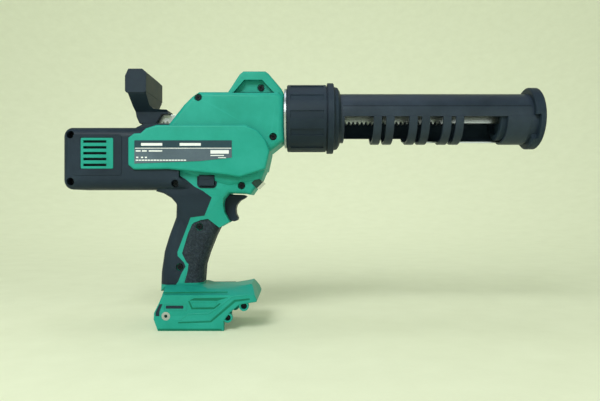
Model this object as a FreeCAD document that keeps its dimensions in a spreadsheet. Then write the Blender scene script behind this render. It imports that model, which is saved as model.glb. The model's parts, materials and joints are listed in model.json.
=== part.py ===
import FreeCAD, Part

import math
import os

import Sketcher

# Cordless caulking gun for a 310 ml cartridge, without its battery.
#
# Frame: millimetres, +X to the muzzle, +Z up, -Y is the right-hand side. The origin is on the axis of
# the cartridge holder and of the push rack, at the front face of the gear head, where the collar starts.
#
# Every driving size is a cell of the sheet "gun". A Dim carries the number of a cell, or of a sum of
# cells, together with its expression, so an outline is written once and stays bound to the sheet.

doc = FreeCAD.newDocument("caulking_gun")
sheet = doc.addObject("Spreadsheet::Sheet", "gun")
used_rows = []
nodes = {}


class Dim:
    """A length or an angle: its number now, and the expression that binds it to the sheet."""

    def __init__(self, number, text=None):
        self.number = float(number)
        self.text = text if text else repr(float(number))

    def __add__(self, other):
        other = as_dim(other)
        return Dim(self.number + other.number, "(%s + %s)" % (self.text, other.text))

    def __sub__(self, other):
        other = as_dim(other)
        return Dim(self.number - other.number, "(%s - %s)" % (self.text, other.text))

    def __mul__(self, other):
        other = as_dim(other)
        return Dim(self.number * other.number, "(%s * %s)" % (self.text, other.text))

    def __truediv__(self, other):
        other = as_dim(other)
        return Dim(self.number / other.number, "(%s / %s)" % (self.text, other.text))

    def __radd__(self, other):
        return as_dim(other) + self

    def __rsub__(self, other):
        return as_dim(other) - self

    def __rmul__(self, other):
        return as_dim(other) * self

    def __neg__(self):
        return Dim(-self.number, "(0 - %s)" % self.text)


def as_dim(value):
    return value if isinstance(value, Dim) else Dim(value)


def size(alias, number):
    """Writes one driving size into the sheet and gives it back as a Dim."""
    used_rows.append(alias)
    row = len(used_rows)
    sheet.set("A%d" % row, alias)
    sheet.set("B%d" % row, str(number))
    sheet.setAlias("B%d" % row, alias)
    return Dim(number, "gun." + alias)


def drive(thing, path, value):
    """Binds one property to its expression."""
    thing.setExpression(path, as_dim(value).text)


# ---------------------------------------------------------------------------------------------
# Driving sizes
# ---------------------------------------------------------------------------------------------

# casing
wall = size("casing_wall", 2.6)
tail_x = size("tail_x", -234.0)
barrel_front_x = size("barrel_front_x", -112.0)
motor_z = size("motor_axis_z", -45.4)
barrel_half_width = size("barrel_half_width", 32.0)
barrel_half_height = size("barrel_half_height", 32.8)
barrel_corner = size("barrel_corner_radius", 11.0)
saddle_top_z = size("saddle_top_z", -8.2)
saddle_half_width = size("saddle_half_width", 24.0)
nose_x = size("nose_x", -164.0)
head_face_x = size("head_face_x", -2.0)
head_top_z = size("head_top_z", 25.3)
head_half_width = size("head_half_width", 27.5)
head_rim = size("head_rim_radius", 6.0)
label_half_width = size("label_block_half_width", 36.0)
switch_half_width = size("switch_block_half_width", 25.0)
hump_top_z = size("hump_top_z", 47.8)
hump_half_width = size("hump_half_width", 22.0)
hump_recess = size("hump_recess_depth", 7.0)

# grip and foot
grip_half_width = size("grip_half_width", 17.0)
grip_round = size("grip_round_radius", 10.0)
skin = size("soft_skin_thickness", 2.2)
foot_half_width = size("foot_half_width", 38.0)
foot_lean_y = size("foot_lean_start_y", 21.0)
foot_lean_z = size("foot_lean_end_z", -188.0)
lean_start_z = size("switch_lean_top_z", -84.0)
lean_end_z = size("switch_lean_low_z", -116.0)
foot_bottom_z = size("foot_bottom_z", -225.0)
foot_top_z = size("foot_top_z", -180.0)
foot_floor_z = size("battery_roof_z", -199.0)
rail_half_gap = size("battery_half_gap", 31.0)
rail_reach = size("battery_rail_reach", 3.5)
rail_thick = size("battery_rail_thickness", 4.0)
rail_z = size("battery_rail_z", -212.0)

# collar, holder, cap
collar_length = size("collar_length", 44.6)
collar_radius = size("collar_radius", 36.5)
flange_radius = size("collar_flange_radius", 38.5)
flange_length = size("collar_flange_length", 6.6)
nose_radius = size("collar_nose_radius", 34.6)
nose_length = size("collar_nose_length", 6.8)
holder_inner = size("holder_inner_radius", 25.2)
holder_wall = size("holder_wall", 1.6)
holder_rear_x = size("holder_rear_x", 14.0)
holder_lip = size("holder_lip_height", 4.0)
holder_lip_length = size("holder_lip_length", 3.0)
holder_end_x = size("holder_end_x", 262.0)
strap_rise = size("strap_rise", 1.7)
strap_width = size("strap_width", 8.6)
strap_gap = size("strap_gap", 4.6)
strap_first_x = size("first_strap_pair_x", 92.6)
strap_second_x = size("second_strap_pair_x", 130.2)
strap_third_x = size("third_strap_pair_x", 166.0)
window_start_x = size("window_start_x", 62.0)
front_band_x = size("front_band_x", 234.0)
cap_radius = size("cap_radius", 33.5)
cap_length = size("cap_length", 11.0)
cap_wall = size("cap_front_wall", 5.0)
nozzle_radius = size("nozzle_hole_radius", 9.0)

# rack drive
tooth_module = size("tooth_module", 1.5)
rack_half_width = size("rack_half_width", 5.0)
rack_top_z = size("rack_top_z", 3.6)
rack_tip_z = size("rack_tip_z", -6.5)
rack_rear_x = size("rack_rear_x", -152.0)
rack_front_x = size("rack_front_x", 232.0)
rack_travel = size("rack_travel", 195.0)
pinion_x = size("pinion_axis_x", -52.0)
piston_radius = size("piston_radius", 23.8)
piston_x = size("piston_x", 228.0)
piston_length = size("piston_length", 14.0)

# pull handle
bar_rear_x = size("pull_bar_rear_x", -167.0)
bar_front_x = size("pull_bar_front_x", -145.0)
bar_top_z = size("pull_bar_top_z", 47.2)
bar_bottom_z = size("pull_bar_bottom_z", 22.5)
bar_half_length = size("pull_bar_half_length", 36.0)
stem_half_width = size("pull_stem_half_width", 12.0)

# trigger and buttons
trigger_half_width = size("trigger_half_width", 8.0)
trigger_travel = size("trigger_travel", 6.0)
button_half_length = size("button_half_length", 29.0)
button_travel = size("button_travel", 3.0)

# clearances
slide_clearance = size("slide_clearance", 0.4)
fit_clearance = size("fit_clearance", 0.05)
tooth_clearance = size("tooth_clearance", 0.12)

# hardware
screw_radius = size("screw_radius", 1.6)
screw_head_radius = size("screw_head_radius", 3.1)
screw_head_length = size("screw_head_length", 2.4)
boss_radius = size("boss_radius", 5.6)
screw_mouth_radius = size("screw_mouth_radius", 4.1)
insert_radius = size("insert_radius", 4.4)
insert_bore = size("insert_bore_radius", 1.65)

# casing details, drive train, motor and electronics
button_rear_x = size("button_rear_x", -91.5)
button_front_x = size("button_front_x", -75.5)
button_low_z = size("button_low_z", -74.4)
button_high_z = size("button_high_z", -63.4)
button_relief = size("button_relief_half_width", 23.5)
button_bar_height = size("button_bar_height", 7.0)
lamp_x = size("lamp_x", -30.5)
lamp_z = size("lamp_z", -71.0)
lamp_length = size("lamp_length", 8.0)
lamp_height = size("lamp_height", 9.0)
lamp_half_width = size("lamp_half_width", 25.0)
screw_depth = size("screw_depth_past_seam", 7.0)
insert_x = size("insert_x", -124.0)
insert_z = size("insert_z", -209.5)
insert_length = size("insert_length", 7.0)
vent_rear_x = size("vent_rear_x", -214.0)
vent_front_x = size("vent_front_x", -180.5)
vent_low_z = size("vent_low_z", -56.3)
vent_high_z = size("vent_high_z", -24.5)
vent_thick = size("vent_thickness", 2.8)
label_thick = size("label_thickness", 0.5)
ring_bore = size("mount_ring_bore", 24.0)
thread_radius = size("mount_thread_radius", 31.5)
thread_length = size("mount_thread_length", 9.4)
ring_flange = size("mount_flange_thickness", 2.4)
flat_depth = size("collar_flat_depth", 1.1)
flat_half_width = size("collar_flat_half_width", 3.6)
far_edge_z = size("holder_far_edge_z", -20.5)
window_top_z = size("holder_window_top_z", -1.0)
piston_screw_radius = size("piston_screw_radius", 2.5)
handle_screw_x = size("handle_screw_x", -146.5)
pinion_half_width = size("pinion_half_width", 6.0)
output_shaft = size("output_shaft_radius", 4.0)
gear_low_y = size("drive_gear_low_y", 9.0)
gear_width = size("drive_gear_width", 7.0)
relay_shaft = size("relay_shaft_radius", 3.0)
plate_thick = size("gearcase_plate", 4.0)
plate_right_y = size("gearcase_right_y", -12.5)
plate_left_y = size("gearcase_left_y", 17.5)
bearing_radius = size("bearing_radius", 8.0)
bevel_big = size("bevel_gear_radius", 13.5)
bevel_face = size("bevel_face_length", 5.0)
carrier_shaft = size("carrier_shaft_radius", 3.0)
stage_x = size("planet_stage_x", -112.0)
stage_width = size("planet_stage_width", 10.0)
motor_shaft = size("motor_shaft_radius", 2.5)
planet_pin = size("planet_pin_radius", 1.5)
ring_outer = size("ring_gear_outer_radius", 19.0)
carrier_gap = size("carrier_gap", 0.6)
carrier_plate = size("carrier_plate", 3.0)
gearbox_front_x = size("gearbox_front_x", -84.0)
case_rear_x = size("gearcase_rear_x", -80.0)
case_front_x = size("gearcase_front_x", -30.0)
case_low_z = size("gearcase_low_z", -58.0)
case_high_z = size("gearcase_high_z", 12.0)
can_radius = size("motor_can_radius", 24.5)
can_rear_x = size("motor_can_rear_x", -208.0)
can_front_x = size("motor_can_front_x", -150.0)
can_wall = size("motor_can_wall", 1.2)
rotor_radius = size("rotor_radius", 14.0)
air_gap = size("motor_air_gap", 0.7)
fan_x = size("fan_x", -144.0)
fan_radius = size("fan_radius", 23.0)
bell_x = size("front_bell_x", -131.0)
switch_front_x = size("switch_front_x", -88.0)
switch_box_half = size("switch_box_half_width", 9.0)
rib_thick = size("rib_thickness", 2.0)
trigger_back_x = size("trigger_back_x", -68.5)
plunger_half = size("plunger_half_width", 3.0)
board_z = size("board_z", -192.0)
terminal_low_z = size("terminal_low_z", -209.0)

doc.recompute()


# ---------------------------------------------------------------------------------------------
# Ways of making a solid
# ---------------------------------------------------------------------------------------------

ALONG = {
    "X": FreeCAD.Rotation(FreeCAD.Vector(0, 1, 0), 90),
    "Y": FreeCAD.Rotation(FreeCAD.Vector(1, 0, 0), -90),
    "Z": FreeCAD.Rotation(),
}
SIDE = FreeCAD.Rotation(FreeCAD.Vector(1, 0, 0), 90)
ACROSS = FreeCAD.Rotation(FreeCAD.Vector(1, 1, 1), 120)


def put(thing, x, y, z):
    """Places a thing at a point whose three coordinates are bound."""
    drive(thing, "Placement.Base.x", x)
    drive(thing, "Placement.Base.y", y)
    drive(thing, "Placement.Base.z", z)


def block(name, x, y, z):
    """A box between a low and a high value on each axis."""
    box = doc.addObject("Part::Box", name)
    drive(box, "Length", as_dim(x[1]) - x[0])
    drive(box, "Width", as_dim(y[1]) - y[0])
    drive(box, "Height", as_dim(z[1]) - z[0])
    put(box, x[0], y[0], z[0])
    return box


def rod(name, axis, start, length, radius):
    """A round bar from a start point along +X, +Y or +Z."""
    bar = doc.addObject("Part::Cylinder", name)
    bar.Placement = FreeCAD.Placement(FreeCAD.Vector(), ALONG[axis])
    drive(bar, "Radius", radius)
    drive(bar, "Height", length)
    put(bar, *start)
    return bar


def pipe(name, axis, start, length, radius, bore):
    """A round bar with a round bore right through it."""
    outer = rod(name + "_outer", axis, start, length, radius)
    inner = rod(name + "_bore", axis, start, length, bore)
    return cut(name, outer, inner)


def fuse(name, *pieces):
    whole = doc.addObject("Part::MultiFuse", name)
    whole.Shapes = list(pieces)
    return whole


def cut(name, base, *tools):
    tool = tools[0] if len(tools) == 1 else fuse(name + "_tools", *tools)
    rest = doc.addObject("Part::Cut", name)
    rest.Base = base
    rest.Tool = tool
    return rest


def common(name, base, tool):
    both = doc.addObject("Part::Common", name)
    both.Base = base
    both.Tool = tool
    return both


def mirrored(name, source):
    """The same piece on the other side of the centre plane."""
    other = doc.addObject("Part::Mirroring", name)
    other.Source = source
    other.Normal = FreeCAD.Vector(0, 1, 0)
    return other


def constrain_corners(sketch, corners):
    """Closes a chain of lines through the corners and binds each corner to the sheet."""
    count = len(corners)
    for i in range(count):
        a = corners[i]
        b = corners[(i + 1) % count]
        start = FreeCAD.Vector(as_dim(a[0]).number, as_dim(a[1]).number, 0)
        end = FreeCAD.Vector(as_dim(b[0]).number, as_dim(b[1]).number, 0)
        sketch.addGeometry(Part.LineSegment(start, end), False)
    for i in range(count):
        sketch.addConstraint(Sketcher.Constraint("Coincident", i, 2, (i + 1) % count, 1))
    for i, corner in enumerate(corners):
        for kind, value in (("DistanceX", as_dim(corner[0])), ("DistanceY", as_dim(corner[1]))):
            index = sketch.addConstraint(Sketcher.Constraint(kind, -1, 1, i, 1, value.number))
            sketch.setExpression("Constraints[%d]" % index, value.text)


def outline(name, corners):
    """A closed outline in the X-Z plane that stands by itself."""
    sketch = doc.addObject("Sketcher::SketchObject", name)
    sketch.Placement = FreeCAD.Placement(FreeCAD.Vector(), SIDE)
    constrain_corners(sketch, corners)
    return sketch


def slab(name, profile, y_low, y_high):
    """An outline carried across the gun from y_low to y_high."""
    pad = doc.addObject("Part::Extrusion", name)
    pad.Base = profile
    pad.DirMode = "Custom"
    pad.Dir = FreeCAD.Vector(0, -1, 0)
    pad.Solid = True
    drive(pad, "LengthFwd", -as_dim(y_low))
    drive(pad, "LengthRev", as_dim(y_high))
    return pad


def ridge(name, corners, x_low, x_high):
    """A straight bar along X whose section is given by (y, z) corners."""
    sketch = doc.addObject("Sketcher::SketchObject", name + "_section")
    sketch.Placement = FreeCAD.Placement(FreeCAD.Vector(x_low, 0, 0), ACROSS)
    constrain_corners(sketch, corners)
    bar = doc.addObject("Part::Extrusion", name)
    bar.Base = sketch
    bar.DirMode = "Custom"
    bar.Dir = FreeCAD.Vector(1, 0, 0)
    bar.LengthFwd = x_high - x_low
    bar.Solid = True
    return bar


def inset(name, profile, distance):
    """The same outline moved inwards by a distance."""
    inner = doc.addObject("Part::Offset2D", name)
    inner.Source = profile
    inner.Join = 2
    drive(inner, "Value", -as_dim(distance))
    return inner


def new_body(name, role):
    """A PartDesign body and the origin plane that its sketch lies on."""
    body = doc.addObject("PartDesign::Body", name)
    plane = [item for item in body.Origin.OriginFeatures if item.Role == role][0]
    return body, plane


def body_sketch(body, plane, name):
    sketch = body.newObject("Sketcher::SketchObject", name)
    sketch.AttachmentSupport = [(plane, "")]
    sketch.MapMode = "FlatFace"
    return sketch


def padded(name, corners, y_low, y_high):
    """A body whose side outline is padded across the gun from y_high down to y_low."""
    body, plane = new_body(name, "XZ_Plane")
    sketch = body_sketch(body, plane, name + "_outline")
    constrain_corners(sketch, corners)
    drive(sketch, "AttachmentOffset.Base.z", -as_dim(y_high))
    pad = body.newObject("PartDesign::Pad", name + "_pad")
    pad.Profile = sketch
    drive(pad, "Length", as_dim(y_high) - y_low)
    doc.recompute()
    return body


def turned(name, corners):
    """A body of revolution about the X axis; corners are (x, radius)."""
    body, plane = new_body(name, "XZ_Plane")
    sketch = body_sketch(body, plane, name + "_section")
    constrain_corners(sketch, corners)
    turn = body.newObject("PartDesign::Revolution", name + "_turn")
    turn.Profile = sketch
    turn.ReferenceAxis = (sketch, ["H_Axis"])
    turn.Angle = 360
    doc.recompute()
    return body


def round_edges(body, radius, wanted):
    """Rounds the edges of a body's last feature that the test picks out."""
    last = body.Tip
    picked = []
    for number, edge in enumerate(last.Shape.Edges, 1):
        if wanted(edge):
            picked.append("Edge%d" % number)
    fillet = body.newObject("PartDesign::Fillet", body.Name + "_round")
    fillet.Base = (last, picked)
    drive(fillet, "Radius", radius)
    body.Tip = fillet
    doc.recompute()
    return body


def edge_in_plane(axis, value):
    """A test for edges that lie wholly in a plane across one axis."""
    place = as_dim(value).number

    def test(edge):
        points = edge.discretize(5)
        return all(abs(getattr(point, axis) - place) < 0.01 for point in points)

    return test


def edge_along(axis):
    """A test for straight edges parallel to one axis."""

    def test(edge):
        first = edge.Vertexes[0].Point
        last = edge.Vertexes[-1].Point
        run = (last - first).normalize() if (last - first).Length > 0.01 else FreeCAD.Vector()
        return edge.Curve.TypeId == "Part::GeomLine" and abs(getattr(run, axis)) > 0.999

    return test


def node(label, thing):
    """Gives a finished sub-part its name, which is also the name of its file."""
    thing.Label = label
    nodes[label] = thing
    return thing


# ---------------------------------------------------------------------------------------------
# Casing: green housing halves, black motor cover halves, soft grip skins
# ---------------------------------------------------------------------------------------------

barrel_top_z = motor_z + barrel_half_height
barrel_bottom_z = motor_z - barrel_half_height


def rounded_bar(name, x_low, x_high, half_width, half_height, corner):
    """A bar along X with a rounded-rectangle section, centred on the motor axis."""
    body, plane = new_body(name, "YZ_Plane")
    sketch = body_sketch(body, plane, name + "_section")
    low_z = motor_z - half_height
    high_z = motor_z + half_height
    constrain_corners(
        sketch,
        [(-half_width, low_z), (half_width, low_z), (half_width, high_z), (-half_width, high_z)],
    )
    drive(sketch, "AttachmentOffset.Base.z", x_low)
    pad = body.newObject("PartDesign::Pad", name + "_pad")
    pad.Profile = sketch
    drive(pad, "Length", x_high - x_low)
    doc.recompute()
    return round_edges(body, corner, edge_along("x"))


def right_half(name, thing):
    """What lies on the right-hand side of the centre plane."""
    other_side = block(
        name + "_other_side", (tail_x - 20, holder_end_x), (0, 100), (foot_bottom_z - 20, 100)
    )
    return cut(name, thing, other_side)


# side outlines, from the rear round over the top
saddle_outline = [
    (nose_x, barrel_top_z - wall),
    (nose_x + 14, saddle_top_z),
    (barrel_front_x, saddle_top_z),
    (barrel_front_x, barrel_top_z - wall),
]
head_outline = [
    (-131.0, -20.0),
    (-122.8, -7.3),
    (-108.0, 11.8),
    (-99.5, 20.2),
    (-92.0, head_top_z),
    (-8.0, head_top_z),
    (head_face_x, 20.0),
    (head_face_x, -26.3),
    (-16.8, -38.0),
    (-18.2, -46.4),
    (-21.5, -57.3),
    (-27.0, -68.1),
    (-60.0, -75.0),
    (-122.0, -58.0),
]
hump_outline = [
    (-68.0, head_top_z - 10),
    (-61.4, head_top_z + 1),
    (-49.7, hump_top_z - 3.5),
    (-45.5, hump_top_z),
    (-22.1, hump_top_z),
    (-18.6, hump_top_z - 2.5),
    (-5.0, head_top_z + 4),
    (head_face_x, head_top_z - 2),
    (head_face_x, head_top_z - 10),
]
label_outline = [
    (nose_x, -24.5),
    (nose_x + 6, -20.0),
    (-151.0, -19.6),
    (-145.5, -14.5),
    (-134.0, -11.0),
    (-42.5, -11.0),
    (-29.0, -16.7),
    (-20.6, -27.2),
    (-16.8, -38.0),
    (-21.0, -57.0),
    (-47.7, -65.5),
    (-64.0, -63.0),
    (-122.5, -57.0),
    (nose_x + 5.5, -57.5),
    (nose_x, -52.5),
]
switch_outline = [
    (-132.0, -56.0),
    (-20.5, -54.0),
    (-26.3, -68.1),
    (-31.7, -75.7),
    (-37.4, -83.8),
    (-44.0, -82.6),
    (-60.5, -82.0),
    (-65.5, -88.0),
    (-67.0, -94.0),
    (-66.0, -102.0),
    (-60.5, -112.5),
    (-72.0, -119.0),
    (-106.0, -119.0),
    (-115.5, -104.0),
    (-115.0, -97.0),
    (-117.0, -92.5),
    (-122.0, -86.9),
    (-130.0, -82.2),
    (-138.0, -80.0),
]
grip_outline = [
    (-119.0, -92.0),
    (-68.5, -92.0),
    (-71.5, -118.0),
    (-76.5, -128.0),
    (-84.0, -147.0),
    (-88.0, -160.0),
    (-90.2, -188.0),
    (-136.0, -188.0),
    (-135.2, -166.8),
    (-132.0, -144.8),
    (-127.0, -128.3),
    (-119.5, -108.0),
]
foot_outline = [
    (-128.0, foot_top_z),
    (-89.0, foot_top_z),
    (-82.5, foot_top_z - 2.7),
    (-56.0, foot_top_z - 2.7),
    (-37.0, foot_top_z + 1.5),
    (-35.0, foot_top_z - 1),
    (-30.0, -192.5),
    (-30.3, -195.0),
    (-47.4, foot_floor_z + 1.5),
    (-57.8, -206.0),
    (-64.0, -214.3),
    (-64.0, foot_bottom_z),
    (-132.4, foot_bottom_z),
    (-136.8, -213.0),
    (-136.4, -206.3),
    (-131.7, -196.8),
    (-128.0, -188.3),
]

barrel_solid = right_half(
    "barrel_half",
    round_edges(
        rounded_bar(
            "barrel_solid",
            tail_x,
            barrel_front_x,
            barrel_half_width,
            barrel_half_height,
            barrel_corner,
        ),
        barrel_corner - 3,
        edge_in_plane("x", tail_x),
    ),
)
barrel_room = rounded_bar(
    "barrel_room",
    tail_x + wall,
    barrel_front_x + 1,
    barrel_half_width - wall,
    barrel_half_height - wall,
    barrel_corner - wall,
)
saddle_solid = padded("saddle_solid", saddle_outline, -saddle_half_width, 0)
saddle_room = padded(
    "saddle_room",
    [
        (nose_x + 8, barrel_top_z - wall - 1),
        (nose_x + 16, saddle_top_z - wall),
        (barrel_front_x + 1, saddle_top_z - wall),
        (barrel_front_x + 1, barrel_top_z - wall - 1),
    ],
    wall - saddle_half_width,
    1,
)

# the head, the raised block that carries the label, the switch block, the hanger hump, grip and foot
casing_slabs = [
    ("head", head_outline, head_half_width, head_rim),
    ("label_block", label_outline, label_half_width, 2.5),
    ("switch_block", switch_outline, switch_half_width, 4.0),
    ("hump", hump_outline, hump_half_width, 2.5),
    ("foot", foot_outline, foot_half_width, 1.0),
]
# sides that lean in: the switch block down to the grip, and the top of the foot up to it
switch_lean = [
    (-as_dim(switch_half_width), lean_start_z),
    (-as_dim(grip_half_width), lean_end_z),
    (-as_dim(grip_half_width), lean_end_z - 6),
    (-60, lean_end_z - 6),
    (-60, lean_start_z),
]
foot_lean = [
    (-as_dim(foot_half_width), foot_lean_z),
    (-as_dim(foot_lean_y), foot_top_z),
    (-as_dim(foot_lean_y), foot_top_z + 10),
    (-60, foot_top_z + 10),
    (-60, foot_lean_z),
]


def leaning(name, thing, corners, shift_y, shift_z):
    """Cuts a sloping side off a thing; the shifts leave a wall when the thing is a room."""
    moved = [(as_dim(y) + shift_y, as_dim(z) + shift_z) for y, z in corners[:3]]
    moved += list(corners[3:])
    return cut(name + "_leaning", thing, ridge(name + "_lean", moved, -160.0, 0.0))


solids = {}
rooms = {}
for part_name, corners, half_width, rim in casing_slabs:
    solids[part_name] = padded(part_name + "_solid", corners, -half_width, 0)
    round_edges(solids[part_name], rim, edge_in_plane("y", -half_width))
    rooms[part_name] = slab(
        part_name + "_room",
        inset(part_name + "_inset", outline(part_name + "_line", corners), wall),
        wall - half_width,
        1,
    )
solids["switch_block"] = leaning("switch_block", solids["switch_block"], switch_lean, 0, 0)
rooms["switch_block"] = cut(
    "switch_block_room_short",
    leaning("switch_block_room", rooms["switch_block"], switch_lean, wall, 0),
    block("switch_room_floor", (-140.0, -20.0), (-60, 60), (-125.0, -107.4)),
)
solids["foot"] = leaning("foot", solids["foot"], foot_lean, 0, 0)
rooms["foot"] = leaning("foot_room", rooms["foot"], foot_lean, 1.0, 0 - as_dim(wall))
solids["grip"] = padded("grip_solid", grip_outline, -grip_half_width, 0)
round_edges(solids["grip"], grip_round, edge_in_plane("y", -grip_half_width))
grip_core = padded(
    "grip_core",
    [
        (grip_outline[0][0] + skin, -92.0),
        (grip_outline[1][0] - skin, -92.0),
        (grip_outline[2][0] - skin, -118.0),
        (grip_outline[3][0] - skin, -128.0),
        (grip_outline[4][0] - skin, -147.0),
        (grip_outline[5][0] - skin, -160.0),
        (grip_outline[6][0] - skin, -188.0),
        (grip_outline[7][0] + skin, -188.0),
        (grip_outline[8][0] + skin, -166.8),
        (grip_outline[9][0] + skin, -144.8),
        (grip_outline[10][0] + skin, -128.3),
        (grip_outline[11][0] + skin, -108.0),
    ],
    skin - grip_half_width,
    1,
)
round_edges(grip_core, grip_round - skin, edge_in_plane("y", skin - grip_half_width))

# the room inside the grip, and the parts of the casing that are black
grip_inner_y = skin + wall + 1.6 - as_dim(grip_half_width)
grip_room = slab(
    "grip_room",
    inset("grip_inset", outline("grip_line", grip_outline), skin + wall),
    grip_inner_y,
    1,
)
black_outline = [
    (-176.0, -58.0),
    (-122.5, -57.2),
    (-118.7, -59.5),
    (-105.0, -68.0),
    (-96.8, -75.0),
    (-88.0, -79.5),
    (-78.5, -86.6),
    (-87.0, -106.0),
    (-102.0, -108.0),
    (-106.0, -117.6),
    (-110.5, -129.5),
    (-116.4, -145.0),
    (-116.2, -149.0),
    (-109.4, -156.1),
    (-107.7, -160.4),
    (-112.6, -169.0),
    (-115.5, -176.5),
    (-118.0, foot_top_z),
    (-150.0, foot_top_z),
    (-150.0, -88.0),
    (-176.0, -84.0),
]
pad_outline = [
    (-98.6, -113.5),
    (-91.0, -110.6),
    (-83.4, -109.4),
    (-71.2, -119.2),
    (-60.0, -126.0),
    (-60.0, foot_top_z + 2),
    (-109.0, foot_top_z + 2),
    (-106.1, -168.0),
    (-104.5, -158.3),
    (-107.2, -155.1),
    (-111.5, -146.5),
    (-108.3, -135.8),
    (-105.1, -125.1),
    (-100.8, -115.5),
]
black_region = slab("black_region", outline("black_line", black_outline), -60, 60)
pad_region = slab("pad_region", outline("pad_line", pad_outline), -60, 60)

# through features of the casing: rack tunnel, trigger slot, button and lamp windows
rack_tunnel = block(
    "rack_tunnel",
    (barrel_front_x - 30, head_face_x + 4),
    (-(rack_half_width + slide_clearance * 2), rack_half_width + slide_clearance * 2),
    (rack_tip_z - slide_clearance * 2, rack_top_z + slide_clearance * 2),
)
trigger_slot = block(
    "trigger_slot",
    (-92.0, -40.0),
    (-(trigger_half_width + slide_clearance), trigger_half_width + slide_clearance),
    (-113.6, -82.6),
)
button_window = block(
    "button_window",
    (button_rear_x - slide_clearance, button_front_x + slide_clearance),
    (-60, 60),
    (button_low_z - slide_clearance, button_high_z + slide_clearance),
)


def lamp_block(name, grow):
    """The lamp lens across the lower front edge of the gear head, turned 45 degrees."""
    deep, tall = as_dim(lamp_length) + grow * 2, as_dim(lamp_height) + grow * 2
    piece = block(name, (0, deep), (0, 0), (0, 0))
    piece.Placement = FreeCAD.Placement(
        FreeCAD.Vector(), FreeCAD.Rotation(FreeCAD.Vector(0, 1, 0), 45)
    )
    drive(piece, "Width", (lamp_half_width + grow) * 2)
    drive(piece, "Height", tall)
    diagonal = math.sqrt(0.5) / 2
    put(
        piece,
        lamp_x - (deep + tall) * diagonal,
        -(lamp_half_width + grow),
        lamp_z + (deep - tall) * diagonal,
    )
    return piece


lamp_window = lamp_block("lamp_window", Dim(0.2))
barrel_space = fuse(
    "barrel_space",
    rounded_bar(
        "barrel_envelope",
        tail_x,
        barrel_front_x,
        barrel_half_width,
        barrel_half_height,
        barrel_corner,
    ),
    padded("saddle_envelope", saddle_outline, -saddle_half_width, 1),
)
hump_core = block(
    "hump_core", (-80, 10), (-30, hump_recess - hump_half_width + wall), (head_top_z + 1, 100)
)
rooms["hump"] = cut("hump_room_narrow", rooms["hump"], hump_core)
recess_outline = [
    (-57.0, 24.0),
    (-44.5, 38.6),
    (-25.5, 38.6),
    (-12.0, 24.0),
]
recess = slab("hanger_recess", outline("recess_line", recess_outline), -60, hump_recess - hump_half_width)

upper_outer = fuse(
    "upper_outer", solids["head"], solids["label_block"], solids["switch_block"], solids["hump"]
)
room_bridge = block(
    "room_bridge", (-113.5, -40.0), (wall - switch_half_width, 1), (-62.0, -54.0)
)
upper_room = fuse(
    "upper_room",
    rooms["head"],
    rooms["label_block"],
    rooms["switch_block"],
    rooms["hump"],
    room_bridge,
)
grip_skin = cut("grip_skin", solids["grip"], grip_core, upper_room)

# battery foot: rails open to the front and below
foot_bay = block(
    "foot_bay",
    (-126.0, -20.0),
    (-rail_half_gap, rail_half_gap),
    (foot_bottom_z - 1, foot_floor_z),
)
foot_lid = block(
    "foot_lid", (-140.0, -20.0), (-60, 60), (foot_floor_z - 1, foot_floor_z + wall)
)
foot_lower = block("foot_lower", (-150, 0), (-60, 60), (foot_bottom_z - 1, foot_floor_z + wall))
foot_hollow = cut("foot_hollow", rooms["foot"], foot_lower)
rail_right = block(
    "rail_right",
    (-125.0, -66.0),
    (-rail_half_gap, rail_reach - rail_half_gap),
    (rail_z, rail_z + rail_thick),
)

# case screws: x, z, the outer face that each is sunk into, and how deep its head lies
case_screws = [
    (-92.5, 19.0, head_half_width, 5.0),
    (-27.0, 31.0, hump_half_width - hump_recess, 2.0),
    (-13.5, -22.5, head_half_width, 5.0),
    (-47.0, -74.0, switch_half_width, 5.0),
    (-116.0, -72.0, barrel_half_width, 9.0),
    (-93.0, -118.0, grip_half_width, 4.0),
    (-114.0, -161.0, grip_half_width, 4.0),
    (tail_x + 8.5, motor_z + 24.5, barrel_half_width, 13.0),
    (tail_x + 8.5, motor_z - 24.5, barrel_half_width, 13.0),
]


def screw_tools(prefix, screw):
    """The boss, the hole with its sunk mouth, and the screw itself."""
    x, z, face, depth = screw
    seat = -(as_dim(face) - depth)
    tag = "%s_%d_%d" % (prefix, abs(round(as_dim(x).number)), abs(round(as_dim(z).number)))
    boss = rod(tag + "_boss", "Y", (x, -(as_dim(face) - 1.2), z), as_dim(face) - 1.2, boss_radius)
    hole = rod(tag + "_hole", "Y", (x, -60, z), 60, screw_radius + fit_clearance)
    mouth = rod(tag + "_mouth", "Y", (x, seat - 40, z), 40, screw_mouth_radius)
    head = rod(tag + "_head", "Y", (x, seat - screw_head_length, z), screw_head_length, screw_head_radius)
    shank = rod(tag + "_shank", "Y", (x, seat - 0.5, z), 0.5 - seat + screw_depth, screw_radius)
    socket = rod(tag + "_socket", "Y", (x, seat - screw_head_length - 1, z), 2.5, 1.2)
    screw_solid = cut(tag + "_screw", fuse(tag + "_bar", head, shank), socket)
    return boss, hole, mouth, screw_solid


upper_bosses = []
barrel_bosses = []
grip_bosses = []
screw_holes = []
screw_mouths = []
screw_solids = []
for index, screw in enumerate(case_screws):
    boss, hole, mouth, screw_solid = screw_tools("case", screw)
    group = upper_bosses if index < 4 else grip_bosses if index in (5, 6) else barrel_bosses
    group.append(boss)
    screw_holes.append(hole)
    screw_mouths.append(mouth)
    screw_solids.append(screw_solid)
node("case_screws", fuse("case_screw_group", *screw_solids))
holes = fuse("screw_holes", *screw_holes)
mouths = fuse("screw_mouths", *screw_mouths)

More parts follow.
